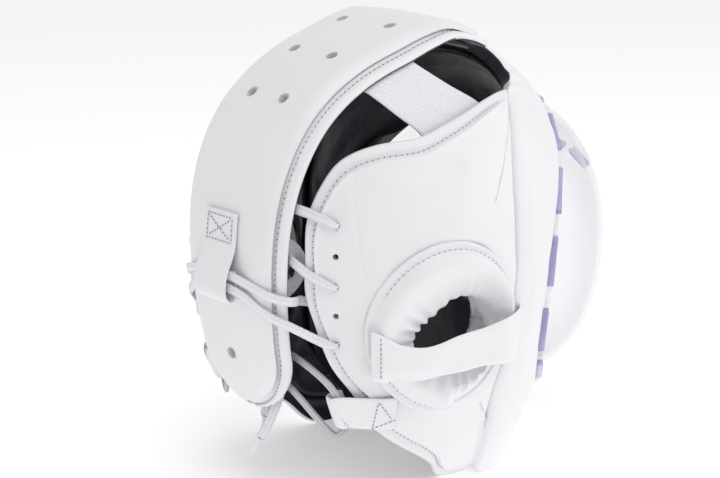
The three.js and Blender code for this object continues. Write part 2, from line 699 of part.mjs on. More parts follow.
const arc = Math.PI * HEAD.back / 180;
const overPad = (down, s, high) => crownPoint(LOOP.turn + down / arc, s, CROWN.swell + high);
function loopFace(side) {
  return LOOP_ROWS.map((row, i) => {
    const before = LOOP_ROWS[Math.max(i - 1, 0)];
    const after = LOOP_ROWS[Math.min(i + 1, LOOP_ROWS.length - 1)];
    const length = Math.hypot(after.down - before.down, after.high - before.high);
    const reachOut = side * LOOP.thickness / 2 / length;
    return [-1, -0.35, 0.35, 1].map((across) => overPad(
      row.down - reachOut * (after.high - before.high),
      across * LOOP.width / 2,
      row.high + reachOut * (after.down - before.down),
    ));
  });
}
add('strip_loop', slab(loopFace(1), loopFace(-1)), WHITE);

// Stops of a lace over the side panel, over the strip, inside the strip and in the loop.
const overPanel = (phi, z, lift) => {
  const point = sidePoint(phi, z, lift);
  return { point, out: headNormal(point) };
};
const onStrip = (turn, s, lift) => ({
  point: crownPoint(turn, s, lift),
  out: crownPoint(turn, s, lift + 5).sub(crownPoint(turn, s, lift)).normalize(),
});
const inHole = (k) => {
  const { centre, out } = laceHoles[k];
  return [
    { point: centre.clone().addScaledVector(out, -1), out, width: LACE.narrow },
    { point: centre.clone().addScaledVector(out, 3.4), out, width: LACE.narrow },
  ];
};
const mirrorStop = (stop) => ({
  point: stop.point.clone().multiply(vec(-1, 1, 1)),
  out: stop.out.clone().multiply(vec(-1, 1, 1)),
  width: stop.width,
});
function lace(name, stops, steps) {
  const route = [...stops, ...stops.slice().reverse().map(mirrorStop)];
  add(name, ribbon(route, LACE.width, LACE.thickness, 2 * steps), LACE_WHITE, 0.7);
}
const inside = -LEATHER - LINING - 2.4;
lace('lace_upper', [
  ...inHole(0),
  overPanel(150.5, 156.5, 4.1),
  overPanel(154.5, 159, 2.2),
  onStrip(160, -41, -5.4),
  onStrip(160, -35, inside + 0.6),
  onStrip(160, -27, inside - 0.6),
  onStrip(160, -9, inside - 0.6),
], 14);
lace('lace_middle', [
  ...inHole(2),
  overPanel(150.5, 126, 4.1),
  overPanel(154.5, 129.5, 2.4),
  onStrip(174, -40, -5.4),
  onStrip(174, -34, inside + 0.6),
  onStrip(174, -27, inside - 0.6),
  onStrip(174, -9, inside - 0.6),
], 14);
const between = vec(-1, 0.2, 0);
lace('lace_loop_upper', [
  overPanel(150.3, 109.5, -8.8),
  overPanel(153.2, 111, -8.4),
  { ...overPanel(157.6, 113.5, -3.5), out: between },
  { ...overPanel(158, 114.5, 2), out: between },
  onStrip(184.4, -41.6, 1.9),
  onStrip(183.6, -35.5, 3.6),
  onStrip(182, -28, 5.6),
  onStrip(180.8, -20, 7),
  onStrip(179.6, -12, 9),
  onStrip(179.6, -4, 9),
], 18);
lace('lace_loop_lower', [
  ...inHole(4),
  overPanel(149.8, 94, 4.4),
  overPanel(153, 96.5, 4),
  onStrip(191, -41.5, 2.6),
  onStrip(189.4, -35.5, 3.8),
  onStrip(187, -28, 5.6),
  onStrip(184.6, -20, 7),
  onStrip(183, -12, 9.6),
  onStrip(183, -4, 9.6),
], 18);

// ---------------------------------------------------------------- nape tabs and elastics

const fold = vec(-50.2, 73.2, 54);
const tabLift = PANEL.raised + GAP + NAPE_TAB.thickness / 2;
const tabStart = overPanel(138, 54.5, tabLift);
const foldAlong = vec(-0.03, 0.36, 0.93).normalize();
const foldOut = foldAlong.clone().cross(tabStart.point.clone().sub(fold)).negate().normalize();
const foldInto = foldAlong.clone().cross(foldOut).normalize();
const atFold = (into, out, along = 0) => fold.clone()
  .addScaledVector(foldInto, into)
  .addScaledVector(foldOut, out)
  .addScaledVector(foldAlong, along);
const tabTip = foldInto.clone().negate();
addPair('nape_tab', ribbon([
  overPanel(134, 54, tabLift),
  tabStart,
  { point: atFold(8, NAPE_TAB.bend), out: foldOut },
  { point: atFold(3.5, NAPE_TAB.bend), out: foldOut },
  { point: atFold(0, 0), out: tabTip },
  { point: atFold(3.5, -NAPE_TAB.bend), out: foldOut.clone().negate() },
  { point: atFold(7.5, -NAPE_TAB.bend), out: foldOut.clone().negate() },
], NAPE_TAB.width, NAPE_TAB.thickness, 14), WHITE);
addPair('nape_elastic', ribbon([
  { point: onStrip(203, -17, inside - 1.8).point, out: foldOut },
  { point: onStrip(203, -33, inside - 1.4).point, out: foldOut },
  { point: atFold(NAPE_CORD.depth, 0, 13), out: foldOut },
  { point: atFold(NAPE_CORD.depth, 0, -9), out: foldOut },
  { point: atFold(NAPE_CORD.depth - 2, 0.2, -14), out: foldOut },
  { point: atFold(NAPE_CORD.depth - 9, -1, -14.2), out: foldOut },
  { point: onStrip(212, -28, inside + 1).point, out: foldOut },
  { point: onStrip(210, -12, inside - 1.2).point, out: foldOut },
], NAPE_CORD.width, NAPE_CORD.thickness, 22), '#d9d8dc');

// ---------------------------------------------------------------- lace tails

// Each tail starts inside the strip's end and hangs free; its points are in millimetres.
const TAILS = {
  long: [[-14, 74, 68], [-13, 76, 60], [-12, 78, 52], [-10.5, 80.5, 44], [-8, 83, 36], [-4.5, 85, 29]],
  short: [[-2, 74, 70], [-2.5, 76, 62], [-3, 78, 54], [-3.2, 79.5, 47], [-3, 80.5, 40]],
};
function tailSection() {
  const shape = new THREE.Shape();
  shape.absellipse(0, 0, TAIL.thickness / 2, TAIL.width / 2, 0, 2 * Math.PI, false, 0);
  return shape;
}
for (const [name, points] of Object.entries(TAILS)) {
  const path = new THREE.CatmullRomCurve3(points.map(([x, y, z]) => vec(x, y, z)), false, 'centripetal');
  const tube = new THREE.ExtrudeGeometry(tailSection(), {
    steps: 6, curveSegments: 8, bevelEnabled: false, extrudePath: path,
  });
  add(`lace_tail_${name}`, toGeometry(toSolid(tube)), LACE_WHITE, 0.7);
  const along = path.getTangent(1);
  const middle = path.getPoint(1).addScaledVector(along, GAP + TAIL.aglet / 2);
  const tip = peg(middle, along, TAIL.agletRadius, TAIL.aglet, 8);
  add(`lace_aglet_${name}`, tip, '#e6e6ea', 0.25);
}

// ---------------------------------------------------------------- place the origin

const whole = new THREE.Box3();
for (const mesh of helmet.children) {
  if (!mesh.name.startsWith('lace_tail') && !mesh.name.startsWith('lace_aglet')) whole.expandByObject(mesh);
}
const middle = whole.getCenter(new THREE.Vector3());
const toOrigin = vec(-middle.x, -middle.y, -whole.min.z);
for (const mesh of helmet.children) mesh.geometry.translate(toOrigin.x, toOrigin.y, toOrigin.z);

export default helmet;
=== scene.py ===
# Full-face bubble helmet: a padded leather head guard with a clear domed face shield.
# Metres, +Z up, face towards -Y, wearer's right towards -X. The shapes are worked out in
# millimetres about the guard's own centre line and are set down in metres by seat().
from math import atan2, copysign, cos, degrees, exp, hypot, pi, radians, sin, sqrt

import bmesh
import bpy
from mathutils import Matrix, Vector, noise


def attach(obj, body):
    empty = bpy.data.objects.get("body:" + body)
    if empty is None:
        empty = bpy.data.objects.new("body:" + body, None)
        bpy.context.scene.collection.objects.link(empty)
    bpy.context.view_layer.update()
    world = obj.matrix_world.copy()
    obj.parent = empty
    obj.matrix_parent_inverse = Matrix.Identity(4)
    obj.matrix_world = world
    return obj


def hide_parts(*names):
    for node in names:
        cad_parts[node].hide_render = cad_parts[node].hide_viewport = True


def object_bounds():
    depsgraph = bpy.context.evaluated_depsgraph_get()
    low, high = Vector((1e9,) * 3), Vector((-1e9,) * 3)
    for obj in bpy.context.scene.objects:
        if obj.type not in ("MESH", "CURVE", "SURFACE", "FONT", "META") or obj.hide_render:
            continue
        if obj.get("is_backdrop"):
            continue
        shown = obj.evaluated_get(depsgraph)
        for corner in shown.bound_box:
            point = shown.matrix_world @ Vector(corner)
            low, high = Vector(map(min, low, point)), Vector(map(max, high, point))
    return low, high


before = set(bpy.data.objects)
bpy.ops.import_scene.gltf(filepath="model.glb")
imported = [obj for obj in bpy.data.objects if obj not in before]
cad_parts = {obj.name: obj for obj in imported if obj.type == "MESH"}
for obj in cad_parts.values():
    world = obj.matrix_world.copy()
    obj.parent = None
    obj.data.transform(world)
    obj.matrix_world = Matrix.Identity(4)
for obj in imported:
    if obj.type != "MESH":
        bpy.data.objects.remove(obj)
cad_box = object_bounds()

# ---- Camera, floor and light --------------------------------------------------------------
# A long lens a metre away, behind the wearer's right shoulder and a little above, over a
# pale floor, in the even light of large soft boxes.
AIM = Vector((0, 0.0196, 0.092))
AZIMUTH, ELEVATION, DISTANCE = radians(229), radians(16.5), 1.0
LIT_AT = Vector((0, 0, 0.12))
towards = Vector((
    sin(AZIMUTH) * cos(ELEVATION),
    -cos(AZIMUTH) * cos(ELEVATION),
    sin(ELEVATION),
))


def linear(colour):
    parts = [int(colour[i:i + 2], 16) / 255 for i in (1, 3, 5)]
    return [p / 12.92 if p <= 0.04045 else ((p + 0.055) / 1.055) ** 2.4 for p in parts] + [1]


# Adds a node with its settings. An input takes a value, a socket or a node's first output.
def node(tree, kind, inputs=None, **settings):
    made = tree.nodes.new("ShaderNode" + kind)
    for key, value in settings.items():
        setattr(made, key, value)
    for key, value in (inputs or {}).items():
        if isinstance(value, bpy.types.Node):
            value = value.outputs[0]
        if isinstance(value, bpy.types.NodeSocket):
            tree.links.new(value, made.inputs[key])
        else:
            made.inputs[key].default_value = value
    return made


def new_material(name):
    made = bpy.data.materials.new(name)
    made.use_nodes = True
    made.node_tree.nodes.clear()
    return made, made.node_tree


def surface(tree, shader):
    node(tree, "OutputMaterial", {"Surface": shader})


def place(name, data):
    made = bpy.data.objects.new(name, data)
    bpy.context.collection.objects.link(made)
    return made


def mesh_of(name, bm):
    mesh = bpy.data.meshes.new(name)
    bm.to_mesh(mesh)
    bm.free()
    return mesh


camera = place("camera", bpy.data.cameras.new("camera"))
camera.data.lens = 90
camera.data.sensor_width = 36
camera.data.shift_x = -1 / 48
camera.data.shift_y = 3 / 40
camera.data.clip_start = 0.05
camera.location = AIM + towards * DISTANCE
camera.rotation_euler = towards.to_track_quat("Z", "Y").to_euler()
bpy.context.scene.camera = camera


def soft_box(name, spot, size, power):
    lamp = place(name, bpy.data.lights.new(name, "AREA"))
    lamp.data.size = size
    lamp.data.energy = power
    lamp.location = spot
    lamp.rotation_euler = (Vector(spot) - LIT_AT).to_track_quat("Z", "Y").to_euler()


soft_box("light_top", (-0.5, 0.2, 1.45), 1.1, 6.8)
soft_box("light_left", (0.9, 1.0, 0.75), 0.9, 1.1)
soft_box("light_right", (-1.05, -1.0, 0.6), 1.1, 4.6)
world = bpy.data.worlds.new("studio")
world.use_nodes = True
sky = world.node_tree
lit = node(sky, "LightPath").outputs["Is Diffuse Ray"]
strength = node(sky, "MapRange", {"Value": lit, "To Min": 1.0, "To Max": 0.52})
sky.links.new(strength.outputs[0], sky.nodes["Background"].inputs["Strength"])
sky.nodes["Background"].inputs["Color"].default_value = linear("#fdfdff")
bpy.context.scene.world = world
bpy.context.scene.view_settings.view_transform = "Standard"

floor_bm = bmesh.new()
bmesh.ops.create_grid(floor_bm, x_segments=1, y_segments=1, size=6)
floor = place("floor", mesh_of("floor", floor_bm))
paper, tree = new_material("seamless_paper")
surface(tree, node(tree, "BsdfPrincipled", {
    "Base Color": linear("#fafafa"), "Roughness": 0.9, "Specular IOR Level": 0.1,
    "Emission Color": linear("#ffffff"), "Emission Strength": 0.36,
}))
floor.data.materials.append(paper)
floor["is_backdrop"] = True

# ---- Loose lace ends ----------------------------------------------------------------------
# The two ends of the flat polyester lace hang free inside the neck opening, each finished
# with a clear plastic tip. A woven lace is limp, so both hang nearly straight.
MM = 0.001
FORWARD = Vector((0, 19.6, 0))
TAIL_WIDTH, TAIL_THICKNESS = 0.005, 0.0014
TAILS = {
    "long": [(-0.014, 0.0936, 0.068), (-0.013, 0.0956, 0.060), (-0.012, 0.0976, 0.052),
             (-0.0105, 0.1001, 0.044), (-0.008, 0.1026, 0.036), (-0.0045, 0.1046, 0.029)],
    "short": [(-0.002, 0.0936, 0.070), (-0.0025, 0.0956, 0.062), (-0.003, 0.0976, 0.054),
              (-0.0032, 0.0991, 0.047), (-0.003, 0.1001, 0.040)],
}


def seat(point):
    return (point + FORWARD) * MM


def mix(a, b, t):
    return a + (b - a) * t


def clamp(value, low=0.0, high=1.0):
    return max(low, min(high, value))


def smooth(value, low, high):
    t = clamp((value - low) / (high - low))
    return t * t * (3 - 2 * t)


# Millimetres along three directions from a point, as a matrix that sets things down there.
def frame_of(point, along, across, out):
    turn = Matrix((along, across, out)).transposed().to_4x4()
    return Matrix.Translation(seat(point)) @ turn @ Matrix.Scale(MM, 4)


# A Catmull-Rom curve through points, at s from 0 to 1.
def along_curve(points, s):
    last = len(points) - 1
    i = min(int(s * last), last - 1)
    t = s * last - i
    here, there = points[i], points[i + 1]
    before = points[i - 1] if i else here * 2 - there
    after = points[i + 2] if i + 2 <= last else there * 2 - here
    return 0.5 * (2 * here + (there - before) * t
                  + (2 * before - 5 * here + 4 * there - after) * t * t
                  + (3 * here - before - 3 * there + after) * t ** 3)


def face_out(bm):
    bmesh.ops.recalc_face_normals(bm, faces=bm.faces)
    if bm.calc_volume(signed=True) < 0:
        bmesh.ops.reverse_faces(bm, faces=bm.faces)


# A closed skin from a grid mapped by where(u, v). The grid's ends join up where they meet,
# and what is still open is capped.
def skin(along, around, where, pattern=(1, 1), cap=True):
    bm = bmesh.new()
    bmesh.ops.create_grid(bm, x_segments=along, y_segments=around, size=0.5)
    layer = bm.loops.layers.uv.new("UVMap")
    for face in bm.faces:
        for loop in face.loops:
            spot = loop.vert.co
            loop[layer].uv = ((spot.x + 0.5) * pattern[0], (spot.y + 0.5) * pattern[1])
    for vert in bm.verts:
        vert.co = where(round(clamp(vert.co.x + 0.5), 6), round(clamp(vert.co.y + 0.5), 6))
    bmesh.ops.remove_doubles(bm, verts=bm.verts, dist=1e-6)
    if cap:
        bmesh.ops.holes_fill(bm, edges=[e for e in bm.edges if e.is_boundary], sides=0)
    face_out(bm)
    return bm


def piece(name, bm, materials):
    mesh = mesh_of(name, bm)
    for material in materials:
        mesh.materials.append(material)
    mesh.shade_smooth()
    made = place(name, mesh)
    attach(made, "root")
    return made


def signed_power(value, exponent):
    return copysign(abs(value) ** exponent, value)


# Both half sides, from -1 to 1, of a rounded flat bar's section, a share v of the way round.
def bar_section(v, side, face):
    turn = 2 * pi * (v % 1)
    return signed_power(cos(turn), side), signed_power(sin(turn), face)


# The way that a path of points runs at s.
def heading(points, s, step=0.004):
    return (along_curve(points, min(s + step, 1)) - along_curve(points, max(s - step, 0))).normalized()


# A flat lace or strap: stops are (point, outward direction, width), and the section is a
# rounded flat bar.
def strap_skin(stops, thickness, steps, pattern):
    points = [stop[0] for stop in stops]

    def where(u, v):
        tangent = heading(points, u)
        k = min(int(u * (len(stops) - 1)), len(stops) - 2)
        late = u * (len(stops) - 1) - k
        out = stops[k][1].lerp(stops[k + 1][1], late)
        out = (out - tangent * out.dot(tangent)).normalized()
        side, proud = bar_section(v, 0.55, 0.75)
        half = mix(stops[k][2], stops[k + 1][2], late) / 2
        return along_curve(points, u) + tangent.cross(out) * (side * half) + out * (proud * thickness / 2)

    return skin(steps, 16, where, pattern)


def woven(name, colour, shade, rib, cross, depth, roughness=0.75, crossed=1.0):
    material, tree = new_material(name)
    split = node(tree, "SeparateXYZ", {0: node(tree, "UVMap", uv_map="UVMap")})
    waves = []
    for k, spacing in enumerate((cross, rib)):
        angle = node(tree, "Math", {0: split.outputs[k], 1: 2 * pi / spacing}, operation="MULTIPLY")
        waves.append(node(tree, "Math", {0: angle}, operation="SINE"))
    both = node(tree, "Math", {0: waves[0], 1: waves[1]}, operation="MULTIPLY")
    weave = node(tree, "Math", {0: both, 1: crossed, 2: waves[1]}, operation="MULTIPLY_ADD")
    fuzz = node(tree, "TexNoise", {
        "Vector": node(tree, "TexCoord").outputs["Object"], "Scale": 1400, "Detail": 2,
    })
    # The weave's dips are painted a shade darker and its crowns lighter: painted shade between the threads.
    weave_shade = node(tree, "MapRange", {"Value": weave, "From Min": -1.5, "From Max": 1.5})
    tone_and_shade = node(tree, "Mix", {"Factor": weave_shade, "A": linear(shade), "B": linear(colour)}, data_type="RGBA")
    height = node(tree, "Math", {0: weave, 1: fuzz}, operation="ADD")
    bump = node(tree, "Bump", {"Height": height, "Distance": depth, "Strength": 0.8})
    surface(tree, node(tree, "BsdfPrincipled", {
        "Base Color": tone_and_shade.outputs["Result"], "Roughness": roughness, "Normal": bump,
        "Sheen Weight": 0.15, "Sheen Roughness": 0.5,
    }))
    return material


# Flat woven polyester lace: threads about a millimetre apart make a soft herringbone, with painted shade in
# the weave's dips.
lace_weave = woven("flat_polyester_lace", "#f6f5fb", "#e4e2ec", 0.0013, 0.0016, 0.00012)
# Clear plastic tips, shrunk tight on the lace, so the white shows through.
clear_tip, tree = new_material("clear_acetate_tip")
surface(tree, node(tree, "BsdfPrincipled", {
    "Base Color": linear("#ededf2"), "Roughness": 0.18, "IOR": 1.47, "Coat Weight": 0.4,
}))
for which, points in TAILS.items():
    route = [Vector(point) for point in points]
    line = [along_curve(route, i / 24) for i in range(25)]
    length = sum((b - a).length for a, b in zip(line, line[1:]))
    stops = [(point, Vector((-0.75, 0.66, 0.1)), TAIL_WIDTH) for point in route]
    tail = piece(
        f"loose_lace_{which}",
        strap_skin(stops, TAIL_THICKNESS, 48, (length, 2 * TAIL_WIDTH)),
        [lace_weave],
    )
    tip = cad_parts[f"lace_aglet_{which}"]
    for material_slot in tip.material_slots:
        material_slot.material = clear_tip
    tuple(points[0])
    [list(point) for point in line]
    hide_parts(f"lace_tail_{which}")

# ---- Crown strip --------------------------------------------------------------------------
# A long padded tongue of white synthetic leather from the brow over the head to the nape:
# a flat doubled base with a bound, stitched edge, a raised pad sewn on it, and a dark lining.
# Seven vents are punched through both.
# The head form: its middle, and how far it reaches each way. The power makes it a little boxy.
HEAD_Y, HEAD_Z, SIDE, BACK, BROW, CHIN, TOP, BOTTOM, POWER = -15, 124, 92, 113, 121, 80, 113, 150, 2.2
GAP, LEATHER, PADDING, LINING = 0.3, 3.5, 7, 3
CENTRE = Vector((0, HEAD_Y, HEAD_Z))
CROWN_FROM, CROWN_ROUND, CROWN_TO, CROWN_SWELL = 79, 202, 215, 5
# Turn round the head, lift, half width of the pad, width of the flange, and its droop.
CROWN_ROWS = [
    (79, 0, 41, 7, 0.5), (84, 3, 41, 7, 0.5), (90, 5.5, 40, 7.5, 1.5), (98, 3.5, 39.5, 8, 2.5),
    (107, 1, 39, 8, 3), (118, 1, 38, 8, 3), (140, 3, 36.5, 7.5, 3), (175, 1.5, 34.5, 6.5, 3),
    (202, 0, 30.5, 7, 3), (215, 0.5, 29, 7, 3),
]
VENTS = [(100.5, 19), (100.5, -19), (118.5, 15), (118.5, -15), (135, 13), (135, -13), (202, 0)]
VENT_RADIUS, PUNCH_DEPTH, STITCH_PITCH = 3.2, 26, 3
BASE_TO, BOUND_ROW = CROWN_TO + 2.5, 5.3


# The other columns of a table, read along a smooth curve at a value of its first one.
def read_rows(rows, at):
    last = len(rows) - 1
    i = 0
    while i < last - 1 and at > rows[i + 1][0]:
        i += 1
    before, low, high, after = rows[max(i - 1, 0)], rows[i], rows[i + 1], rows[min(i + 2, last)]
    span = high[0] - low[0]
    s = clamp((at - low[0]) / span)
    values = []
    for column in range(1, len(low)):
        leaving = (high[column] - before[column]) / (high[0] - before[0])
        arriving = (after[column] - low[column]) / (after[0] - low[0])
        curve = span * s * (1 - s) * ((1 - s) * leaving - s * arriving)
        values.append(mix(low[column], high[column], s * s * (3 - 2 * s)) + curve)
    return values


# How far forward the face comes at a height: the chin less than the brow.
def face_reach(z):
    return mix(CHIN, BROW, smooth(z, 48, 158))


def reach(q):
    ahead = face_reach(q.z + HEAD_Z)
    return Vector((SIDE, BACK if q.y > 0 else ahead, TOP if q.z > 0 else BOTTOM))


def head_normal(point):
    q = point - CENTRE
    r = reach(q)
    return Vector([signed_power(q[k] / r[k], POWER - 1) / r[k] for k in range(3)]).normalized()


# The point of the head form in a direction from its centre, lifted along its normal.
def head_point(direction, lift=0.0):
    q = direction * 100
    for _ in range(6):
        r = reach(q)
        q /= sum(abs(q[k] / r[k]) ** POWER for k in range(3)) ** (1 / POWER)
    point = q + CENTRE
    return point + head_normal(point) * lift


def crown_point(turn, s, lift):
    angle = radians(turn)
    middle = head_point(Vector((0, -cos(angle), sin(angle))))
    out = head_normal(middle)
    rise, half, flange, droop = read_rows(CROWN_ROWS, turn)
    over = max(abs(s) - half, 0) / flange
    within = min(abs(s) / half, 1)
    tilt = radians(copysign(5 * within + 4 * droop * over, s))
    middle += out * (rise - 1.5 * within ** 2 - droop * over)
    middle.x = s
    return middle + out * (lift * cos(tilt)) + Vector((lift * sin(tilt), 0, 0))


def crown_half(turn, margin, end):
    late = clamp((turn - CROWN_ROUND) / (end - CROWN_ROUND), 0, 0.985)
    return (read_rows(CROWN_ROWS, turn)[1] + margin) * sqrt(1 - late * late)


# The height of a quarter round, from 0 to 1, at a share of its radius in from its end.
def rounded(share):
    return sqrt(max(1 - (1 - clamp(share)) ** 2, 0))


# How far a rounded edge of that radius has dropped at a distance from its end.
def edge_drop(distance, radius):
    return radius * (1 - rounded(distance / radius))


def bulge(value, middle, width):
    return exp(-((value - middle) / width) ** 2)


def ripple(point, size, height):
    return noise.noise(point / size) * height


def crown_skin(start, end, margin, along, around, top, under):
    def where(u, v):
        if u < 0.8:
            turn = mix(start, CROWN_ROUND, u / 0.8)
        else:
            turn = mix(CROWN_ROUND, end, sin((u - 0.8) * 2.5 * pi))
        half = crown_half(turn, margin(turn), end)
        w = 4 * v - 1 if v <= 0.5 else 3 - 4 * v
        across = half * sin(w * pi / 2)
        distance = max(half - abs(across), 0)
        high, low = top(turn, across, distance), under(turn, across, distance)
        lift = (high + low) / 2 if distance < 1e-6 else high if v <= 0.5 else low
        return seat(crown_point(turn, across, lift))
    return skin(along, around, where)


# White polyurethane leather: smooth and softly glossy. Its fine pressed grain is drawn about a
# millimetre wide, so that it shows.
GRAIN, RELIEF, CREASE = 0.0011, 0.00006, 0.0007
white_leather, tree = new_material("white_pu_leather")
spot = node(tree, "TexCoord").outputs["Object"]
cells = node(tree, "TexVoronoi", {"Vector": spot, "Scale": 1 / GRAIN}, feature="SMOOTH_F1")
pores = node(tree, "TexNoise", {"Vector": spot, "Scale": 700, "Detail": 3})
wrinkles = node(tree, "TexNoise", {"Vector": spot, "Scale": 55, "Detail": 3, "Roughness": 0.45})
hues = node(tree, "TexNoise", {"Vector": spot, "Scale": 14, "Detail": 2})
tone_and_shade = node(tree, "Mix", {"Factor": hues, "A": linear("#e9e9eb"), "B": linear("#efeff1")}, data_type="RGBA")
fine = node(tree, "Bump", {"Height": cells, "Distance": RELIEF, "Strength": 0.5})
finer = node(tree, "Bump", {"Height": pores, "Distance": RELIEF, "Strength": 0.35, "Normal": fine})
broad = node(tree, "Bump", {"Height": wrinkles, "Distance": CREASE, "Strength": 0.35, "Normal": finer})
gloss = node(tree, "MapRange", {"Value": pores, "To Min": 0.36, "To Max": 0.5})
surface(tree, node(tree, "BsdfPrincipled", {
    "Base Color": tone_and_shade.outputs["Result"], "Roughness": gloss, "IOR": 1.5, "Normal": broad,
    "Coat Weight": 0.06, "Coat Roughness": 0.35,
}))
# Navy nylon lining: thin, slightly shiny and creased over the foam. Its colour is painted darker
# in the creases' hollows and lighter on their ridges, as painted shade.
navy_lining, tree = new_material("navy_nylon_lining")
spot = node(tree, "TexCoord").outputs["Object"]
knit = node(tree, "TexVoronoi", {"Vector": spot, "Scale": 900})
creases = node(tree, "TexNoise", {"Vector": spot, "Scale": 70, "Detail": 4})
tone_and_shade = node(tree, "Mix", {
    "Factor": creases, "A": linear("#101119"), "B": linear("#20212e"),
}, data_type="RGBA")
fine = node(tree, "Bump", {"Height": knit, "Distance": 0.0001, "Strength": 0.5})
folds = node(tree, "Bump", {"Height": creases, "Distance": 0.003, "Strength": 0.5, "Normal": fine})
surface(tree, node(tree, "BsdfPrincipled", {
    "Base Color": tone_and_shade.outputs["Result"], "Roughness": 0.45, "Normal": folds,
    "Sheen Weight": 0.2, "Sheen Roughness": 0.4,
}))
# Polyester sewing thread, a shade greyer than the leather.
thread, tree = new_material("polyester_thread")
twist = node(tree, "TexNoise", {
    "Vector": node(tree, "TexCoord").outputs["Object"], "Scale": 2500,
})
surface(tree, node(tree, "BsdfPrincipled", {
    "Base Color": linear("#dcdcdf"), "Roughness": 0.6,
    "Normal": node(tree, "Bump", {"Height": twist, "Distance": 0.0001}),
}))
# The needle's holes between the stitches, drawn as grey dots of painted shade on the leather.
needle_hole_painted_shade, tree = new_material("needle_hole_painted_shade")
surface(tree, node(tree, "BsdfPrincipled", {
    "Base Color": linear("#6f6f74"), "Roughness": 0.9, "Specular IOR Level": 0.1,
}))


def mirror(bm):
    bmesh.ops.scale(bm, vec=(-1, 1, 1), verts=bm.verts)
    bmesh.ops.reverse_faces(bm, faces=bm.faces)


# A row of lock stitches along points on the leather, with its outward direction at each.
# Every stitch is a short thread with a grey dot of painted shade at its end, where its needle hole is.
def stitches(name, row, pitch=STITCH_PITCH, mirrored=False):
    gaps = [(b[0] - a[0]).length for a, b in zip(row, row[1:])]
    total = sum(gaps)
    count = max(int(total / pitch), 1)
    thread_lie = Matrix.Translation((-0.18 * pitch, 0, 0)) @ Matrix.Diagonal((0.36 * pitch, 0.34, 0.3, 1))
    shade_dot_lie = Matrix.Translation((0.42 * pitch, 0, 0.02)) @ Matrix.Diagonal((0.48, 0.42, 0.14, 1))
    bm = bmesh.new()
    i, gone = 0, 0.0
    for k in range(count):
        want = (k + 0.5) * total / count
        while i < len(gaps) - 1 and gone + gaps[i] < want:
            gone += gaps[i]
            i += 1
        late = (want - gone) / gaps[i]
        out = row[i][1].lerp(row[i + 1][1], late).normalized()
        ahead = (row[i + 1][0] - row[i][0]).normalized()
        where = frame_of(row[i][0].lerp(row[i + 1][0], late), ahead, out.cross(ahead).normalized(), out)
        bmesh.ops.create_uvsphere(bm, u_segments=6, v_segments=5, radius=1, matrix=where @ thread_lie)
        hole = bmesh.ops.create_icosphere(bm, subdivisions=1, radius=1, matrix=where @ shade_dot_lie)
        for face in {face for vert in hole["verts"] for face in vert.link_faces}:
            face.material_index = 1
    if mirrored:
        mirror(bm)
    piece(name, bm, [thread, needle_hole_painted_shade])


def stitch_both_sides(name, row, pitch=STITCH_PITCH):
    for side in ("right", "left"):
        stitches(name.format(side), row, pitch, mirrored=side == "left")


# Punches round holes through a piece: spots are (point, outward direction, radius).
def punch(obj, spots, sides=20):
    bm = bmesh.new()
    for point, out, radius in spots:
        where = Matrix.Translation(seat(point)) @ out.to_track_quat("Z", "Y").to_matrix().to_4x4()
        bmesh.ops.create_cone(
            bm, cap_ends=True, segments=sides, radius1=radius * MM, radius2=radius * MM,
            depth=PUNCH_DEPTH * MM, matrix=where,
        )
    cut_with(obj, bm)


def cut_with(obj, bm):
    mesh = mesh_of("cutter", bm)
    cutter = place("cutter", mesh)
    hole = obj.modifiers.new("holes", "BOOLEAN")
    hole.object = cutter
    hole.solver = "EXACT"
    bpy.context.view_layer.update()
    shaped = bpy.data.meshes.new_from_object(obj.evaluated_get(bpy.context.evaluated_depsgraph_get()))
    obj.modifiers.clear()
    old = obj.data
    obj.data = shaped
    shaped.name = obj.name
    bpy.data.meshes.remove(old)
    bpy.data.objects.remove(cutter)
    bpy.data.meshes.remove(mesh)


def base_top(turn, across, distance):
    bound = 0.55 * smooth(distance, 0.2, 1.6) * (1 - smooth(distance, 4.2, 5.6))
    row = -0.45 * bulge(distance, BOUND_ROW, 0.7)
    groove = -1.4 * bulge(distance, crown_flange(turn) - 0.2, 0.8)
    return bound + row + groove - edge_drop(distance, LEATHER / 2)


def base_under(turn, across, distance):
    return -LEATHER + edge_drop(distance, LEATHER / 2)


def pad_top(turn, across, distance):
    shoulder = 3.6 * (1 - clamp(distance / 10)) ** 2.4
    soft = ripple(Vector((across, turn * 1.9, 4)), 16, 0.5) * smooth(distance, 2, 14)
    return CROWN_SWELL - shoulder - 0.8 * edge_drop(distance, 1.0) + soft


def pad_under(turn, across, distance):
    return 2 * GAP


def crown_flange(turn):
    return read_rows(CROWN_ROWS, turn)[2]


head_middle = seat(CENTRE)


# Lines in navy what faces the head's middle.
def line_inside(bm):
    for face in bm.faces:
        if face.normal.dot(face.calc_center_median() - head_middle) < 0:
            face.material_index = 1


def crown_spot(turn, s, lift=0.0):
    point = crown_point(turn, s, lift)
    return point, (crown_point(turn, s, lift + 5) - point).normalized()


vent_spots = [(*crown_spot(turn, across), VENT_RADIUS) for turn, across in VENTS]
bm = crown_skin(CROWN_FROM, BASE_TO, crown_flange, 110, 80, base_top, base_under)
line_inside(bm)
crown_base = piece("crown_strip_base", bm, [white_leather, navy_lining])
crown_pad = piece("crown_strip_pad", crown_skin(
    CROWN_FROM, CROWN_TO, lambda turn: 0, 120, 80, pad_top, pad_under,
), [white_leather])
crown_lining = piece("crown_strip_lining", crown_skin(
    CROWN_FROM + 2, CROWN_TO - 1, lambda turn: -1.5, 90, 48,
    lambda turn, across, distance: -LEATHER - 2 * GAP - edge_drop(distance, 1.4),
    lambda turn, across, distance: -LEATHER - 2 * GAP - LINING + edge_drop(distance, 1.4)
    + ripple(Vector((across, turn * 2, 9)), 9, 0.9),
), [navy_lining])
punch(crown_pad, vent_spots)
punch(crown_base, vent_spots)
for made, name, material_slot in (
    (crown_base, "crown_base", "white_leather"),
    (crown_pad, "crown_pad", "white_leather"),
    (crown_lining, "crown_lining", "dark_lining"),
):
    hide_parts(name)


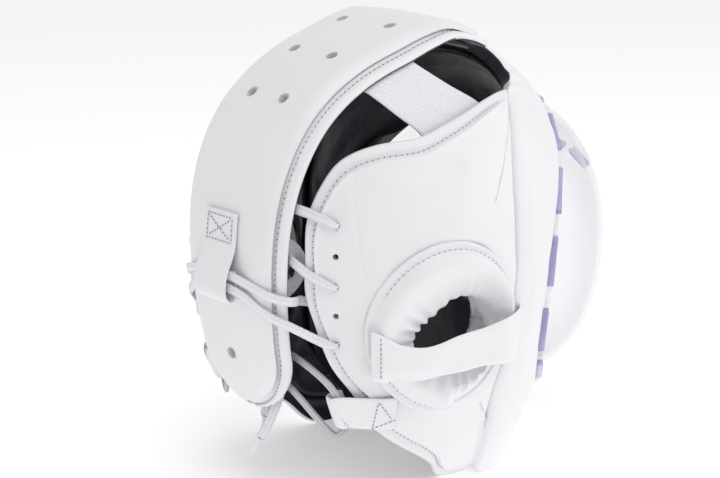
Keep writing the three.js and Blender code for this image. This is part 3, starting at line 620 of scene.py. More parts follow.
def crown_row(inset):
    outline = []
    for side in (1, -1):
        turns = [mix(CROWN_FROM + 6, CROWN_ROUND, i / 60) for i in range(61)]
        turns += [mix(CROWN_ROUND, BASE_TO, sin(i / 14 * pi / 2)) for i in range(1, 14)]
        run = []
        for turn in turns:
            half = crown_half(turn, crown_flange(turn), BASE_TO) - inset
            if half > 1:
                run.append(crown_spot(turn, side * half))
        outline += run if side == 1 else run[::-1]
    return outline


stitches("crown_strip_stitches", crown_row(BOUND_ROW))

# ---- Face frame ---------------------------------------------------------------------------
# The padded ring round the face: brow, cheeks, jaw and chin in one band of white leather
# over foam, lined in navy. The shield is let into its front edge, and a fine seam runs
# beside the rim.
# Station from brow to chin, turn and lean of the rear edge, and angle round the rim.
FRAME_ROWS = [
    (0, 0, 17.8, 0), (16, 16, 17.6, 14), (31, 31, 16.6, 29), (40, 38, 11, 39), (60, 59, 3.4, 55),
    (76, 75, 1.6, 72), (92, 90, 1.2, 86), (106, 105, -0.2, 99), (119, 119, -1.7, 112),
    (132, 132, -3.6, 124), (148, 151, -1, 138), (156, 158, 8, 149), (168, 168, 18, 165),
    (180, 180, 22, 180),
]
RIM = {"z": 113.5, "half": 88.5, "rise": 89, "drop": 87, "brow": -98, "side": -48, "chin": -99,
       "back": 31, "bulge": 2, "square": 2.6}
SHEET, FLANGE, FLANGE_FORWARD = 3, 12, 7
FRAME_WIDTH, FRAME_TO, SUNK = 62, 0.94, 2
CHIN_PAD, CHIN_TOP, BROW_PAD = 6, 80, 11


def rim_point(angle):
    s, c = sin(radians(angle)), cos(radians(angle))
    exponent = 2 / (RIM["bulge"] if c > 0 else RIM["square"])
    x = -RIM["half"] * signed_power(s, exponent)
    z = RIM["z"] + (RIM["rise"] if c > 0 else RIM["drop"]) * signed_power(c, exponent)
    middle = RIM["brow"] if c > 0 else RIM["chin"]
    side = RIM["side"] + RIM["back"] * max(-c, 0)
    y = side + (middle - side) * max(1 - (x / RIM["half"]) ** 2, 0) ** 0.8
    return Vector((x, y, z))


def flange_point(rim):
    forward = FLANGE_FORWARD * (0.4 + 0.6 * (rim.x / RIM["half"]) ** 2)
    inward = Vector((-rim.x, 0, RIM["z"] - rim.z))
    inward.length = sqrt(FLANGE ** 2 - forward ** 2)
    return rim + inward + Vector((0, -forward, 0))


def flange_normal(angle):
    rim = rim_point(angle)
    along = rim_point(angle + 0.5) - rim_point(angle - 0.5)
    out = along.cross(flange_point(rim) - rim).normalized()
    return out if out.y < 0 else -out


def turned(turn, lean):
    t, lean_angle = radians(turn), radians(lean)
    return Vector((
        -sin(t) * cos(lean_angle), -sin(lean_angle), cos(t) * cos(lean_angle),
    ))


def frame_point(station, across, lift):
    turn, lean, angle = read_rows(FRAME_ROWS, station)
    rim = rim_point(angle)
    direction = turned(turn, lean).lerp((rim - CENTRE).normalized(), across).normalized()
    brow = 5 * smooth(across, 0.05, 0.45) * (1 - smooth(station, 34, 62))
    swell = (1.2 * smooth(across, 0, 0.03) + 0.5 * smooth(across, 0, 0.15)) * smooth(station, 37, 46)
    point = head_point(direction, lift + swell - brow)
    jaw = smooth(station, 126, 140) * (1 - smooth(station, 160, 172))
    point.z -= 9 * jaw * smooth(across, 0, 0.08) * (1 - smooth(across, 0.2, 0.5))
    sunk = rim + flange_normal(angle) * (lift - SUNK)
    return point.lerp(sunk, smooth(across, 0.4, 1.05))


def frame_edge(station, inner):
    angle = read_rows(FRAME_ROWS, station)[2]
    rim = rim_point(angle)
    edge = flange_point(rim) if inner else rim
    return edge - flange_normal(angle) * (SHEET / 2 + 3 * GAP)


def both_sides(u, build):
    station = 360 * (u % 1)
    if station <= 180:
        return seat(build(station))
    point = build(360 - station)
    point.x = -point.x
    return seat(point)


# The shallow relief of the frame's skin: its seams, the foam's swell and its puckers.
def frame_relief(station, across):
    width = FRAME_WIDTH * across
    seam = -0.9 * exp(-(width / 0.8) ** 2) * smooth(station, 38, 45)
    fine = -0.4 * bulge(across, 0.2, 0.014) * smooth(station, 44, 52) * (1 - smooth(station, 84, 92))
    pillow = 1.1 * sin(pi * clamp(across / 0.8)) * smooth(station, 36, 70)
    puckers = ripple(Vector((station * 1.35, width, 3)), 13, 0.4)
    gather = 1.5 * sin(station * 1.1) * bulge(station, 33, 6) * bulge(across, 0.12, 0.14)
    return seam + fine + pillow + puckers + gather


def frame_skin(station, v):
    if v <= 0.5:
        across = 2 * FRAME_TO * v
        if v > 0.49:
            return frame_edge(station, False)
        return frame_point(station, across, frame_relief(station, across))
    w = (v - 0.5) * 2
    if w < 0.08:
        return frame_edge(station, False).lerp(frame_edge(station, True), w / 0.08)
    if w > 0.9:
        t = (w - 0.9) / 0.1
        inner = frame_point(station, 0, -PADDING)
        return inner.lerp(frame_point(station, 0, frame_relief(station, 0)), t)
    across = FRAME_TO * (1 - (w - 0.08) / 0.82)
    return frame_point(station, across, -PADDING - 4 * across)


# Cuts a piece off level with the table and closes the cut.
def stand(bm):
    cut = bmesh.ops.bisect_plane(
        bm, geom=bm.verts[:] + bm.edges[:] + bm.faces[:], plane_co=(0, 0, 0), plane_no=(0, 0, 1),
        clear_inner=True,
    )
    edges = [e for e in cut["geom_cut"] if isinstance(e, bmesh.types.BMEdge) and e.is_boundary]
    if edges:
        bmesh.ops.edgeloop_fill(bm, edges=edges)
    face_out(bm)


bm = skin(300, 96, lambda u, v: both_sides(u, lambda station: frame_skin(station, v)))
line_inside(bm)
stand(bm)
face_frame = piece("face_frame_padding", bm, [white_leather, navy_lining])
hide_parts("face_frame")


def face_lining_skin(station, v):
    w = 1 - abs(1 - 2 * v)
    across = mix(0.1, 0.93, w)
    ends = min(w, 1 - w) * 50
    puff = ripple(Vector((station * 1.3, 60 * across, 8)), 12, 1.1) * smooth(ends, 0, 6)
    chin = CHIN_PAD * smooth(station, 96, 132) * smooth(across, 0.45, 0.85) * smooth(ends, 0, 4)
    half = LINING / 2 * rounded(ends / 1.5)
    depth = 3 * GAP + LINING / 2 + (-half if v <= 0.5 else half - puff + chin)
    point = frame_point(station, across, -PADDING - 4 * across - depth)
    rise = max(CHIN_TOP - point.z, 0) * smooth(across, 0.55, 0.9) * smooth(station, 100, 125)
    fall = BROW_PAD * smooth(across, 0.5, 0.9) * (1 - smooth(station, 45, 70))
    return point + Vector((0, 0.3 * rise, rise - fall))


bm = skin(260, 44, lambda u, v: both_sides(u, lambda station: face_lining_skin(station, v)))
stand(bm)
face_lining = piece("face_frame_lining", bm, [navy_lining])
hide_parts("face_lining")

# ---- Face shield --------------------------------------------------------------------------
# One bubble of clear polycarbonate, drawn over a mould from 3 mm sheet. Its flat flange is
# slotted all round so that it can be laced or riveted to the frame, and the brow has three
# air slots. The cut edges glow violet, as the sheet's tint gathers there.
APEX = Vector((0, -151, 104))
SLOTS, SLOT_LENGTH, SLOT_WIDTH, SLOT_INSET = 15, 28, 4.2, 5
VENT_LENGTH, VENT_WIDTH, VENT_RISE, VENT_TURN = 17, 5, 52, 27
BAR_PROUD, SHEET_IOR = 0.7, 1.58

rim_line = []
for i in range(721):
    angle = i / 2
    point = rim_point(min(angle, 360 - angle))
    if angle > 180:
        point.x = -point.x
    rim_line.append(point)
rim_gone = [0.0]
for a, b in zip(rim_line, rim_line[1:]):
    rim_gone.append(rim_gone[-1] + (b - a).length)


def rim_at(share):
    want = (share % 1) * rim_gone[-1]
    low, high = 0, len(rim_gone) - 1
    while high - low > 1:
        middle = (low + high) // 2
        low, high = (middle, high) if rim_gone[middle] <= want else (low, middle)
    return rim_line[low].lerp(rim_line[high], (want - rim_gone[low]) / (rim_gone[high] - rim_gone[low]))


def dome_point(rim, rise):
    edge = flange_point(rim)
    narrow = cos(radians(rise))
    return Vector((
        edge.x * narrow,
        mix(edge.y, APEX.y, sin(radians(rise))),
        mix(APEX.z, edge.z, narrow),
    ))


# Down the sheet's middle from the apex (0) to the rim (1).
def sheet_point(share, w):
    rim = rim_at(share)
    if w < 0.8:
        return dome_point(rim, 90 * (1 - w / 0.8))
    return flange_point(rim).lerp(rim, (w - 0.8) / 0.2)


def sheet_normal(share, w):
    along = sheet_point(share + 0.002, max(w, 0.05)) - sheet_point(share - 0.002, max(w, 0.05))
    down = sheet_point(share, min(w + 0.02, 1)) - sheet_point(share, max(w - 0.02, 0))
    if w < 0.04:
        return Vector((0, -1, 0))
    out = along.cross(down).normalized()
    return out if out.dot(sheet_point(share, w) - Vector((0, 20, APEX.z))) > 0 else -out


def shield_skin(u, v):
    w = 1 - abs(1 - 2 * v)
    side = 1 if v <= 0.5 else -1
    edge = rounded((1 - w) / 0.02)
    return seat(sheet_point(u, w) + sheet_normal(u, w) * (side * SHEET / 2 * edge))


def slot_frames():
    for k in range(SLOTS):
        share = (k + 0.5) / SLOTS
        rim = rim_at(share)
        along = (rim_at(share + 0.004) - rim_at(share - 0.004)).normalized()
        inward = (flange_point(rim) - rim).normalized()
        yield rim + inward * SLOT_INSET, along, along.cross(inward), SLOT_LENGTH, SLOT_WIDTH
    for turn in (-VENT_TURN, 0, VENT_TURN):
        side = -1 if turn < 0 else 1

        def at(angle, rise):
            point = dome_point(rim_point(abs(angle)), rise)
            return Vector((point.x * (-1 if angle < 0 else 1), point.y, point.z))

        along = (at(turn + 3, VENT_RISE) - at(turn - 3, VENT_RISE)).normalized()
        upward = at(turn, VENT_RISE - 4) - at(turn, VENT_RISE + 4)
        yield at(turn, VENT_RISE), along, along.cross(upward).normalized(), VENT_LENGTH, VENT_WIDTH


def slot_bar(bm, centre, along, out, length, width, depth):
    where = frame_of(centre, along, out.cross(along).normalized(), out)
    block = bmesh.ops.create_cube(bm, size=1, matrix=where @ Matrix.Diagonal((length, width, depth, 1)))
    uprights = [
        e for e in {e for v in block["verts"] for e in v.link_edges}
        if abs((e.verts[0].co - e.verts[1].co).normalized().dot(out)) > 0.9
    ]
    bmesh.ops.bevel(
        bm, geom=uprights, offset=width * 0.45 * MM, segments=4, affect="EDGES", profile=0.5, material=-1,
    )


# Clear polycarbonate: hard and glossy, seen through but for its soft reflections, and
# milky only where the sheet is seen at a slant.
clear_sheet, tree = new_material("clear_polycarbonate")
slant = node(tree, "LayerWeight", {"Blend": 0.35})
film = node(tree, "MapRange", {
    "Value": slant.outputs["Facing"], "From Min": 0.1, "From Max": 1.0, "To Min": 0.08, "To Max": 0.5,
}, interpolation_type="SMOOTHSTEP")
surface(tree, node(tree, "BsdfPrincipled", {
    "Base Color": linear("#ececf4"), "Roughness": 0.06, "IOR": SHEET_IOR, "Alpha": film,
    "Coat Weight": 0.5, "Coat Roughness": 0.03,
}))
# The same sheet seen edge on, where its tint gathers to violet.
violet_edge, tree = new_material("violet_polycarbonate_edge")
hues = node(tree, "TexNoise", {
    "Vector": node(tree, "TexCoord").outputs["Object"], "Scale": 60, "Detail": 2,
})
tint = node(tree, "Mix", {"Factor": hues, "A": linear("#7f76b8"), "B": linear("#a9a2d6")}, data_type="RGBA")
surface(tree, node(tree, "BsdfPrincipled", {
    "Base Color": tint.outputs["Result"], "Roughness": 0.15, "IOR": SHEET_IOR, "Coat Weight": 0.3,
}))
shield = piece("shield_bubble", skin(300, 120, shield_skin, cap=False), [clear_sheet])
bm = bmesh.new()
for centre, along, out, length, width in slot_frames():
    slot_bar(bm, centre, along, out, length, width, 12)
cut_with(shield, bm)
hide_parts("face_shield")
bm = bmesh.new()
for centre, along, out, length, width in slot_frames():
    centre += out * copysign(BAR_PROUD, -out.y)
    slot_bar(bm, centre, along, out, length - 0.6, width - 0.6, SHEET + 0.6)
bars = piece("shield_violet_edges", bm, [violet_edge])
bars.data.shade_flat()

# ---- Side panels --------------------------------------------------------------------------
# One padded panel a side, from the temple round the ear to the jaw: white leather over foam,
# its free edge bound and stitched flat, with an ear hole, a fine panel seam and five lace
# holes. The right one is made and the left one mirrors it.
EAR_PHI, EAR_Z, EAR_LONG, EAR_HIGH = 115.5, 97.5, 40, 46.5
HOLE_LONG, HOLE_HIGH, HOLE_BACK, HOLE_UP = 24, 21, -8, -6
# Turn round the ear, angle and height of the edge, and how far it is free of the frame.
PANEL_ROWS = [
    (0, 70, 210.7, 0), (8, 79, 210, 0.8), (15, 91, 207.2, 1), (32, 110.5, 200.4, 1), (46, 123, 195, 1),
    (62, 138, 192.4, 1), (75, 148, 186, 1), (88, 153, 174, 1), (100, 156, 157, 1), (115, 156, 137, 1),
    (130, 156, 119, 1), (145, 153.5, 101, 1), (160, 150, 80, 1), (175, 144, 62, 1), (189, 139, 43, 1),
    (204, 131, 30, 1), (222, 116, 13, 1), (232, 108, 0.5, 1), (237, 92, -3, 1), (240, 77, -4, 1),
]
SEAM_FROM, SEAM_TOP, SEAM_BOTTOM = 240, 36.2, 156
RAISED, HOLE_MARGIN, PANEL_CLOCK, INLAND = 2.5, 2.4, 119, 14
BEND, BEND_TURN, BEND_WIDTH, PANEL_ROW = 16, -2, 22, 6.9
PER_DEGREE = radians(1) * SIDE
LACE_PHI, LACE_TOP, LACE_PITCH, LACE_HOLES, LACE_HOLE_RADIUS = 147.5, 154, 15.3, 5, 1.5
# Height and angle down the seam between the panel's two skins.
SEAM_LINE = [
    (193, 150), (187, 146.5), (180, 144.5), (172, 143.5), (150, 142), (133, 140.5), (110, 139), (92, 140),
]


def side_point(phi, z, lift=0.0):
    p = POWER
    a = radians(phi)
    dz = z - HEAD_Z
    k = (1 - min(abs(dz) / (TOP if dz > 0 else BOTTOM), 0.999) ** p) ** (1 / p)
    depth = BACK if phi > 90 else face_reach(z)
    out = k * (abs(sin(a) / SIDE) ** p + abs(cos(a) / depth) ** p) ** (-1 / p)
    point = Vector((-sin(a) * out, HEAD_Y - cos(a) * out, z))
    return point + head_normal(point) * lift


def outward(point):
    return point, head_normal(point)


def ear_edge(clock, long, high, back=0, up=0):
    angle = radians(clock)
    return EAR_PHI + (back + long * cos(angle)) / PER_DEGREE, EAR_Z + up + high * sin(angle)


def panel_edge(turn):
    turn = turn % 360
    if turn <= SEAM_FROM:
        return read_rows(PANEL_ROWS, turn)
    share = (turn - SEAM_FROM) / (360 - SEAM_FROM)
    angle = mix(SEAM_BOTTOM, SEAM_TOP, share)
    lean, = read_rows([(row[1], row[2]) for row in FRAME_ROWS], angle)
    point = head_point(turned(angle, lean))
    point.y += 0.6
    return [degrees(atan2(-point.x, HEAD_Y - point.y)), point.z, 0]


# Millimetres from a spot on the upper panel to the seam in front of it.
SEAM_CURVE = [panel_edge(SEAM_FROM + 60 + k / 2)[:2] for k in range(120)]
SEAM_STARTS, FAR_OFF = (121, 138), 60


def before_seam(phi, z):
    if z < SEAM_CURVE[0][1]:
        return FAR_OFF
    for (phi0, z0), (phi1, z1) in zip(SEAM_CURVE, SEAM_CURVE[1:]):
        if z <= z1:
            break
    return (phi - mix(phi0, phi1, min((z - z0) / (z1 - z0), 1))) * PER_DEGREE


def panel_spot(turn, from_edge=None, across=None):
    inner = ear_edge(PANEL_CLOCK - turn, EAR_LONG - HOLE_MARGIN, EAR_HIGH - HOLE_MARGIN)
    edge = panel_edge(turn)
    length = hypot((edge[0] - inner[0]) * PER_DEGREE, edge[1] - inner[1])
    s = across if from_edge is None else 1 - from_edge / length
    bend = BEND * s * (1 - s) * bulge((turn + 180 - BEND_TURN) % 360 - 180, 0, BEND_WIDTH)
    phi, z = mix(inner[0], edge[0], s) + bend, mix(inner[1], edge[1], s) + bend
    phi -= 0.96 * min(before_seam(phi, z), 0) * smooth(z, *SEAM_STARTS) / PER_DEGREE
    return phi, z, length * (1 - s), edge[2]


def seam_dip(phi, z):
    for (z0, phi0), (z1, phi1) in zip(SEAM_LINE, SEAM_LINE[1:]):
        if z1 <= z <= z0:
            line = mix(phi1, phi0, (z - z1) / (z0 - z1))
            ends = smooth(z, 92, 100) * (1 - smooth(z, 186, 193))
            return -0.4 * ends * bulge((phi - line) * PER_DEGREE, 0, 0.8)
    return 0.0


def seam_rise(distance, height, z):
    low = 0.55 * smooth(distance, 0, 1.8) + 0.45 * smooth(distance, 0, 12)
    return height * low - 0.5 * exp(-(distance / 0.8) ** 2) * (1 - smooth(z, 196, 206))


def panel_top(phi, z, distance, free):
    step = RAISED * smooth(distance, 7.4, 9.2)
    ridge = 0.7 * bulge(distance, 9.6, 1.5)
    bound = 0.5 * smooth(distance, 0.2, 1.6) * (1 - smooth(distance, 4.6, 6.2))
    row = -0.5 * bulge(distance, PANEL_ROW, 0.8)
    bound_edge = step + ridge + bound + row - edge_drop(distance, LEATHER / 2)
    gap = before_seam(phi, z)
    seam = seam_rise(distance, RAISED, z)
    skinned = mix(seam, bound_edge, smooth(free, 0, 1))
    if gap < INLAND:
        skinned = mix(skinned, min(skinned, seam_rise(gap, RAISED, z)), smooth(z, *SEAM_STARTS))
    inland = smooth(distance, 9, 20)
    spot = Vector((phi * PER_DEGREE, z, 0))
    soft = ripple(spot, 26, 1.0) * inland + ripple(spot + Vector((5, 9, 3)), 9, 0.28) * inland
    temple = -1.3 * bulge(z, 180, 7) * bulge(phi, 117, 9) + 0.8 * bulge(z, 189, 5) * bulge(phi, 116, 10)
    holes = sum(
        -0.8 * bulge(hypot((phi - LACE_PHI) * PER_DEGREE, z - LACE_TOP + k * LACE_PITCH), 0, 4)
        for k in range(LACE_HOLES)
    )
    return skinned + soft + temple * inland + holes + seam_dip(phi, z)


def panel_under(distance, free):
    bound_edge = mix(-LEATHER, -PADDING, smooth(distance, 7.5, 10.5)) + edge_drop(distance, LEATHER / 2)
    return mix(-PADDING, bound_edge, smooth(free, 0, 1))


def panel_skin(u, v):
    turn = 360 * (u % 1)
    w = 1 - abs(1 - 2 * v)
    if w < 0.6:
        inset = mix(panel_spot(turn, across=0)[2], INLAND, w / 0.6)
    else:
        inset = INLAND * (1 - (w - 0.6) / 0.4) ** 1.25
    phi, z, distance, free = panel_spot(turn, from_edge=inset)
    high, low = panel_top(phi, z, distance, free), panel_under(distance, free)
    lift = (high + low) / 2 if min(w, 1 - w) < 1e-4 else high if v < 0.5 else low
    return seat(side_point(phi, z, lift))


# A right-hand piece in its node's place, with its mirror image in the left one's.
def both_hands(right, node_name):
    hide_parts(node_name)
    bm = bmesh.new()
    bm.from_mesh(right.data)
    mirror(bm)
    left = piece(right.name.replace("right", "left"), bm, list(right.data.materials))
    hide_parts(node_name.replace("right", "left"))
    return right, left


bm = skin(288, 110, panel_skin)
line_inside(bm)
# The outer skin is leather all over, in its tight folds at the seam too.
layer = bm.loops.layers.uv["UVMap"]
for face in bm.faces:
    if sum(loop[layer].uv.y for loop in face.loops) < 0.5 * len(face.loops):
        face.material_index = 0
stand(bm)
panel = piece("side_panel_right_padding", bm, [white_leather, navy_lining])
lace_holes = [side_point(LACE_PHI, LACE_TOP - k * LACE_PITCH) for k in range(LACE_HOLES)]
punch(panel, [(*outward(hole), LACE_HOLE_RADIUS) for hole in lace_holes], sides=12)
for made in both_hands(panel, "side_panel_right"):
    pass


panel_row = []
for i in range(161):
    phi, z, distance, free = panel_spot(mix(6, 236, i / 160), from_edge=PANEL_ROW)
    panel_row.append(outward(side_point(phi, z, panel_top(phi, z, distance, free) + 0.1)))
stitch_both_sides("side_panel_{}_stitches", panel_row)


def panel_lining_skin(u, v):
    turn = 360 * (u % 1)
    w = 1 - abs(1 - 2 * v)
    length = panel_spot(turn, across=0)[2]
    phi, z, distance, free = panel_spot(turn, from_edge=mix(length - 2, 12, w))
    ends = min(w, 1 - w) * length
    puff = ripple(Vector((phi * PER_DEGREE, z, 5)), 13, 1.3) * smooth(ends, 0, 6)
    half = LINING / 2 * rounded(ends / 1.5)
    depth = 3 * GAP + LINING / 2 + (-half if v <= 0.5 else half - puff)
    return seat(side_point(phi, z, -PADDING - depth))


bm = skin(200, 50, panel_lining_skin)
stand(bm)
panel_lining = piece("side_panel_right_lining", bm, [navy_lining])
for made in both_hands(panel_lining, "side_lining_right"):
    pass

# ---- Ear rolls ----------------------------------------------------------------------------
# A stuffed leather roll sewn round each ear hole, fullest over the top and behind the ear
# and flat towards the face. Its bound edge is stitched down on the panel, and its inner
# skin is gathered into the hole, which puckers it.
ROLL_SEAM, ON_PANEL, ROLL_DEPTH = 4, 2.8, 10
# Share of the roll's width, and the height of its outer and of its under skin.
ROLL_ROWS = [(0, 6.4, 2.8), (0.2, 8.2, -0.5), (0.5, 5.4, -4), (1, -3, -6.5)]


def roll_fullness(clock):
    turn = (clock + 90) % 360 - 90
    return mix(0.12, 1, smooth(turn, -92, -80) * (1 - smooth(turn, 150, 200)))


def roll_spot(clock, across):
    edge = ear_edge(clock, EAR_LONG, EAR_HIGH)
    small = 1 - 0.2 * bulge((clock + 180) % 360 - 180, 48, 34)
    hole = ear_edge(clock, HOLE_LONG * small, HOLE_HIGH * small, HOLE_BACK, HOLE_UP)
    width = hypot((edge[0] - hole[0]) * PER_DEGREE, edge[1] - hole[1])
    return mix(edge[0], hole[0], across), mix(edge[1], hole[1], across), width


def roll_lift(clock, across, width, face):
    full = roll_fullness(clock)
    seam = ROLL_SEAM / width
    t = clamp((across - seam) / (1 - seam))
    height, base = read_rows(ROLL_ROWS, t)
    if face == "under":
        return base if across > seam else ON_PANEL
    if height > ON_PANEL:
        height = mix(ON_PANEL + 0.8, height + 1.2 * sin(pi * clamp(t / 0.6)), full)
    rise = smooth(across, seam * 0.8, seam * 1.8)
    bound = 1.4 + 0.3 * bulge(across * width, 1.6, 1.2) - 0.5 * bulge(across * width, 4.2, 0.8)
    turn = (clock + 90) % 360 - 90
    sunk = 2.4 * smooth(turn, 200, 214) * (1 - smooth(turn, 262, 268)) * (1 - smooth(across * width, 5, 12))
    return mix(ON_PANEL + bound - edge_drop(across * width, 1.2), height, rise) - sunk


def roll_puckers(clock, t):
    turn = (clock + 90) % 360 - 90
    inner = smooth(t, 0.35, 0.95)
    hole = 1.1 * sin(radians(clock) * 23 + 2 * sin(radians(clock * 3))) * inner
    flat = smooth(turn, 196, 215) * (1 - smooth(turn, 262, 270))
    pleats = 1.3 * sin(radians(turn) * 31 + 1.5 * t) * flat * smooth(t, 0.2, 0.6)
    corner = 1.6 * sin(radians(turn) * 26) * bulge(turn, 22, 16) * smooth(t, 0.3, 0.8)
    folds = bulge(turn, 133 - 6 * t, 3.4) + 0.8 * bulge(turn, 146 - 9 * t, 3)
    fold = -2.2 * smooth(t, 0.35, 0.8) * (folds + 0.5 * bulge(turn, 119 - 3 * t, 3.4))
    return hole + pleats + corner + fold


def roll_skin(u, v):
    clock = 360 * (u % 1)
    w = 1 - abs(1 - 2 * v)
    across = min(w / 0.86, 1) ** 1.15
    phi, z, width = roll_spot(clock, across)
    seam = ROLL_SEAM / width
    t = clamp((across - seam) / (1 - seam))
    into = ROLL_DEPTH * (1 + 0.7 * bulge(clock, 180, 60)) * smooth(w, 0.8, 1.02)
    high = roll_lift(clock, across, width, "outer") + roll_puckers(clock, t) * 0.8 - into
    low = roll_lift(clock, across, width, "under") - into
    spot = Vector((phi * PER_DEGREE, z, 2))
    high += ripple(spot, 13, 0.7) * smooth(t, 0.05, 0.4)
    lift = (high + low) / 2 if min(w, 1 - w) < 1e-4 else high if v < 0.5 else low
    return seat(side_point(phi, z, lift))


bm = skin(288, 84, roll_skin)
roll = piece("ear_roll_right_stuffed", bm, [white_leather])
for made in both_hands(roll, "ear_roll_right"):
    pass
for run, (start, stop) in {"upper": (30, 142), "lower": (282, 326)}.items():
    roll_row = []
    for i in range(100):
        clock = mix(start, stop, i / 99)
        width = roll_spot(clock, 0)[2]
        across = 4.4 / width
        phi, z, _ = roll_spot(clock, across)
        roll_row.append(outward(side_point(phi, z, roll_lift(clock, across, width, "outer") + 0.05)))
    stitch_both_sides(f"ear_roll_{{}}_{run}_stitches", roll_row)

# ---- Ear straps ---------------------------------------------------------------------------
# A strap of doubled leather over each ear roll, from the frame's seam to behind the ear,
# turned in along both edges and stitched down at its rear end.
STRAP_THICKNESS, CLOSE_PITCH = 2, 2.4
# Angle, height of the strap's middle, half its width and how far it stands off the head.
STRAP_ROWS = [
    (88, 89.5, 14.5, 2.2), (90.4, 89.5, 14, 5.9), (97, 89, 12.5, 9), (105, 88, 10.5, 7.8),
    (114, 86.5, 10, 7.8), (124, 83.5, 9.5, 9), (131, 85, 10.5, 9.6), (136, 88.5, 12.5, 9.2),
    (138.8, 90, 13, 8),
]


def strap_spot(phi, side, lift):
    z, half, rise = read_rows(STRAP_ROWS, phi)
    rise -= 3.2 * smooth(-side, 0.1, 1) * smooth(phi, 112, 123) * (1 - smooth(phi, 133, 137))
    return side_point(phi, z + side * half, rise + lift)


def strap_skin_at(u, v):
    phi = mix(88, 138.8, u)
    half = read_rows(STRAP_ROWS, phi)[1]
    side, proud = bar_section(v, 0.35, 0.6)
    hem = 0.35 * bulge(half * (1 - abs(side)), 2.2, 1.3) if proud > 0 else 0
    soft = ripple(Vector((phi * PER_DEGREE, side * half, 7)), 12, 0.5)
    return seat(strap_spot(phi, side, STRAP_THICKNESS / 2 * (1 + proud) + hem + soft))


strap = piece("ear_strap_right", skin(120, 64, strap_skin_at), [white_leather])
for made in both_hands(strap, "ear_bridge_right"):
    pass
strap_end = [
    outward(strap_spot(136.4, mix(-0.86, 0.86, i / 20), STRAP_THICKNESS + 0.25)) for i in range(21)
]
stitch_both_sides("ear_strap_{}_stitches", strap_end, CLOSE_PITCH)

# ---- Elastic bands ------------------------------------------------------------------------
# A wide band of woven elastic each side, stretched from under the crown strip to the top of
# the side panel. Its rubber cords show as fine ribs along its length.
ELASTIC_THICKNESS, TUCK = 1.5, 6


def elastic_point(u, v, lift):
    turn = mix(104, 123, v)
    _, half, flange, _ = read_rows(CROWN_ROWS, turn)
    half += flange
    under = -LEATHER - 3 * GAP + lift
    turn_out = mix(12.5, 45, v)

    def on_panel(inset):
        phi, z, _, _ = panel_spot(turn_out, from_edge=inset)
        return side_point(phi, z, under)

    stops = [crown_point(turn, -half + TUCK, under), crown_point(turn, -half - 1, under)]
    stops += [stops[1].lerp(on_panel(-1.5), 0.5), on_panel(-1.5), on_panel(TUCK)]
    return along_curve(stops, u)


def elastic_skin(u, v):
    w = 1 - abs(1 - 2 * v)
    edge = rounded(min(w, 1 - w) * 40)
    half = ELASTIC_THICKNESS / 2
    waist = 0.03 * sin(pi * u)
    side = -half + (half if v <= 0.5 else -half) * edge
    return seat(elastic_point(u, mix(waist, 1 - waist, w), side))


# The elastic's weave is painted a shade darker between its ribs, as painted shade.
ribbed = woven("ribbed_elastic", "#f9f9fb", "#e3e3ea", 0.0018, 0.0011, 0.00016, roughness=0.7, crossed=0.25)
bm = skin(60, 80, elastic_skin, (0.04, 0.088))
line_inside(bm)
elastic = piece("elastic_band_right_woven", bm, [ribbed, navy_lining])
for made in both_hands(elastic, "elastic_band_right"):
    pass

# ---- Strip loop ---------------------------------------------------------------------------
# A doubled leather tab sewn on the crown strip with a square and its diagonals, and bent
# back under itself to make the loop that the laces pass through.
LOOP_WIDTH, LOOP_TURN, LOOP_THICKNESS = 26, 164.5, 1.6
ARC = pi * BACK / 180
# Millimetres down the strip and above the pad, from the sewn end round the loop.
LOOP_ROWS = [
    (0, 1.2), (15, 1.2), (22, 3.4), (30, 7.2), (38, 8.6), (42, 7.4), (43.4, 4.8), (42, 2.2), (38, 1.2),
    (28, 1.2),
]
loop_path = [Vector((down, high, 0)) for down, high in LOOP_ROWS]


def over_pad(down, s, high):
    return crown_point(LOOP_TURN + down / ARC, s, CROWN_SWELL + high)


def loop_skin(u, v):
    spot = along_curve(loop_path, u)
    ahead = heading(loop_path, u, 0.01)
    side, proud = bar_section(v, 0.35, 0.6)
    proud *= LOOP_THICKNESS / 2
    return seat(over_pad(spot.x - ahead.y * proud, side * LOOP_WIDTH / 2, spot.y + ahead.x * proud))


strip_loop = piece("strip_loop_leather", skin(110, 48, loop_skin), [white_leather])
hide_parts("strip_loop")


def box_row(corners, over=over_pad):
    row = []
    for (a0, b0), (a1, b1) in zip(corners, corners[1:]):
        for i in range(12):
            a, b = mix(a0, a1, i / 12), mix(b0, b1, i / 12)
            here = over(a, b, 2.1)
            row.append((here, (over(a, b, 6) - here).normalized()))
    return row


for k, corners in enumerate((
    [(2.5, -10), (2.5, 10), (14.5, 10), (14.5, -10), (2.5, -10)],
    [(3.5, -9), (13.5, 9)],
    [(3.5, 9), (13.5, -9)],
)):
    stitches(f"strip_loop_stitches_{k}", box_row(corners), CLOSE_PITCH)

# ---- Laces --------------------------------------------------------------------------------
# One flat woven lace, threaded from side to side: through the panels' holes, behind the
# crown strip for the two upper runs and through the leather loop for the two lower ones.
LACE_WIDTH, LACE_NARROW, LACE_THICKNESS = 5.2, 3, 1.4
UNDER_STRIP = -LEATHER - LINING - 2.4


def over_panel(phi, z, lift, width=LACE_WIDTH, out=None):
    point = side_point(phi, z, lift)
    return point, out or head_normal(point), width


def on_strip(turn, s, lift):
    return *crown_spot(turn, s, lift), LACE_WIDTH


def under_strip(turn, edge, inside):
    low = UNDER_STRIP - 0.6
    stops = ((edge, -5.4), (inside, low + 1.2), (-27, low), (-9, low))
    return [on_strip(turn, s, lift) for s, lift in stops]


def in_hole(k):
    out = head_normal(lace_holes[k])
    return [(lace_holes[k] + out * lift, out, LACE_NARROW) for lift in (-1, 3.4)]


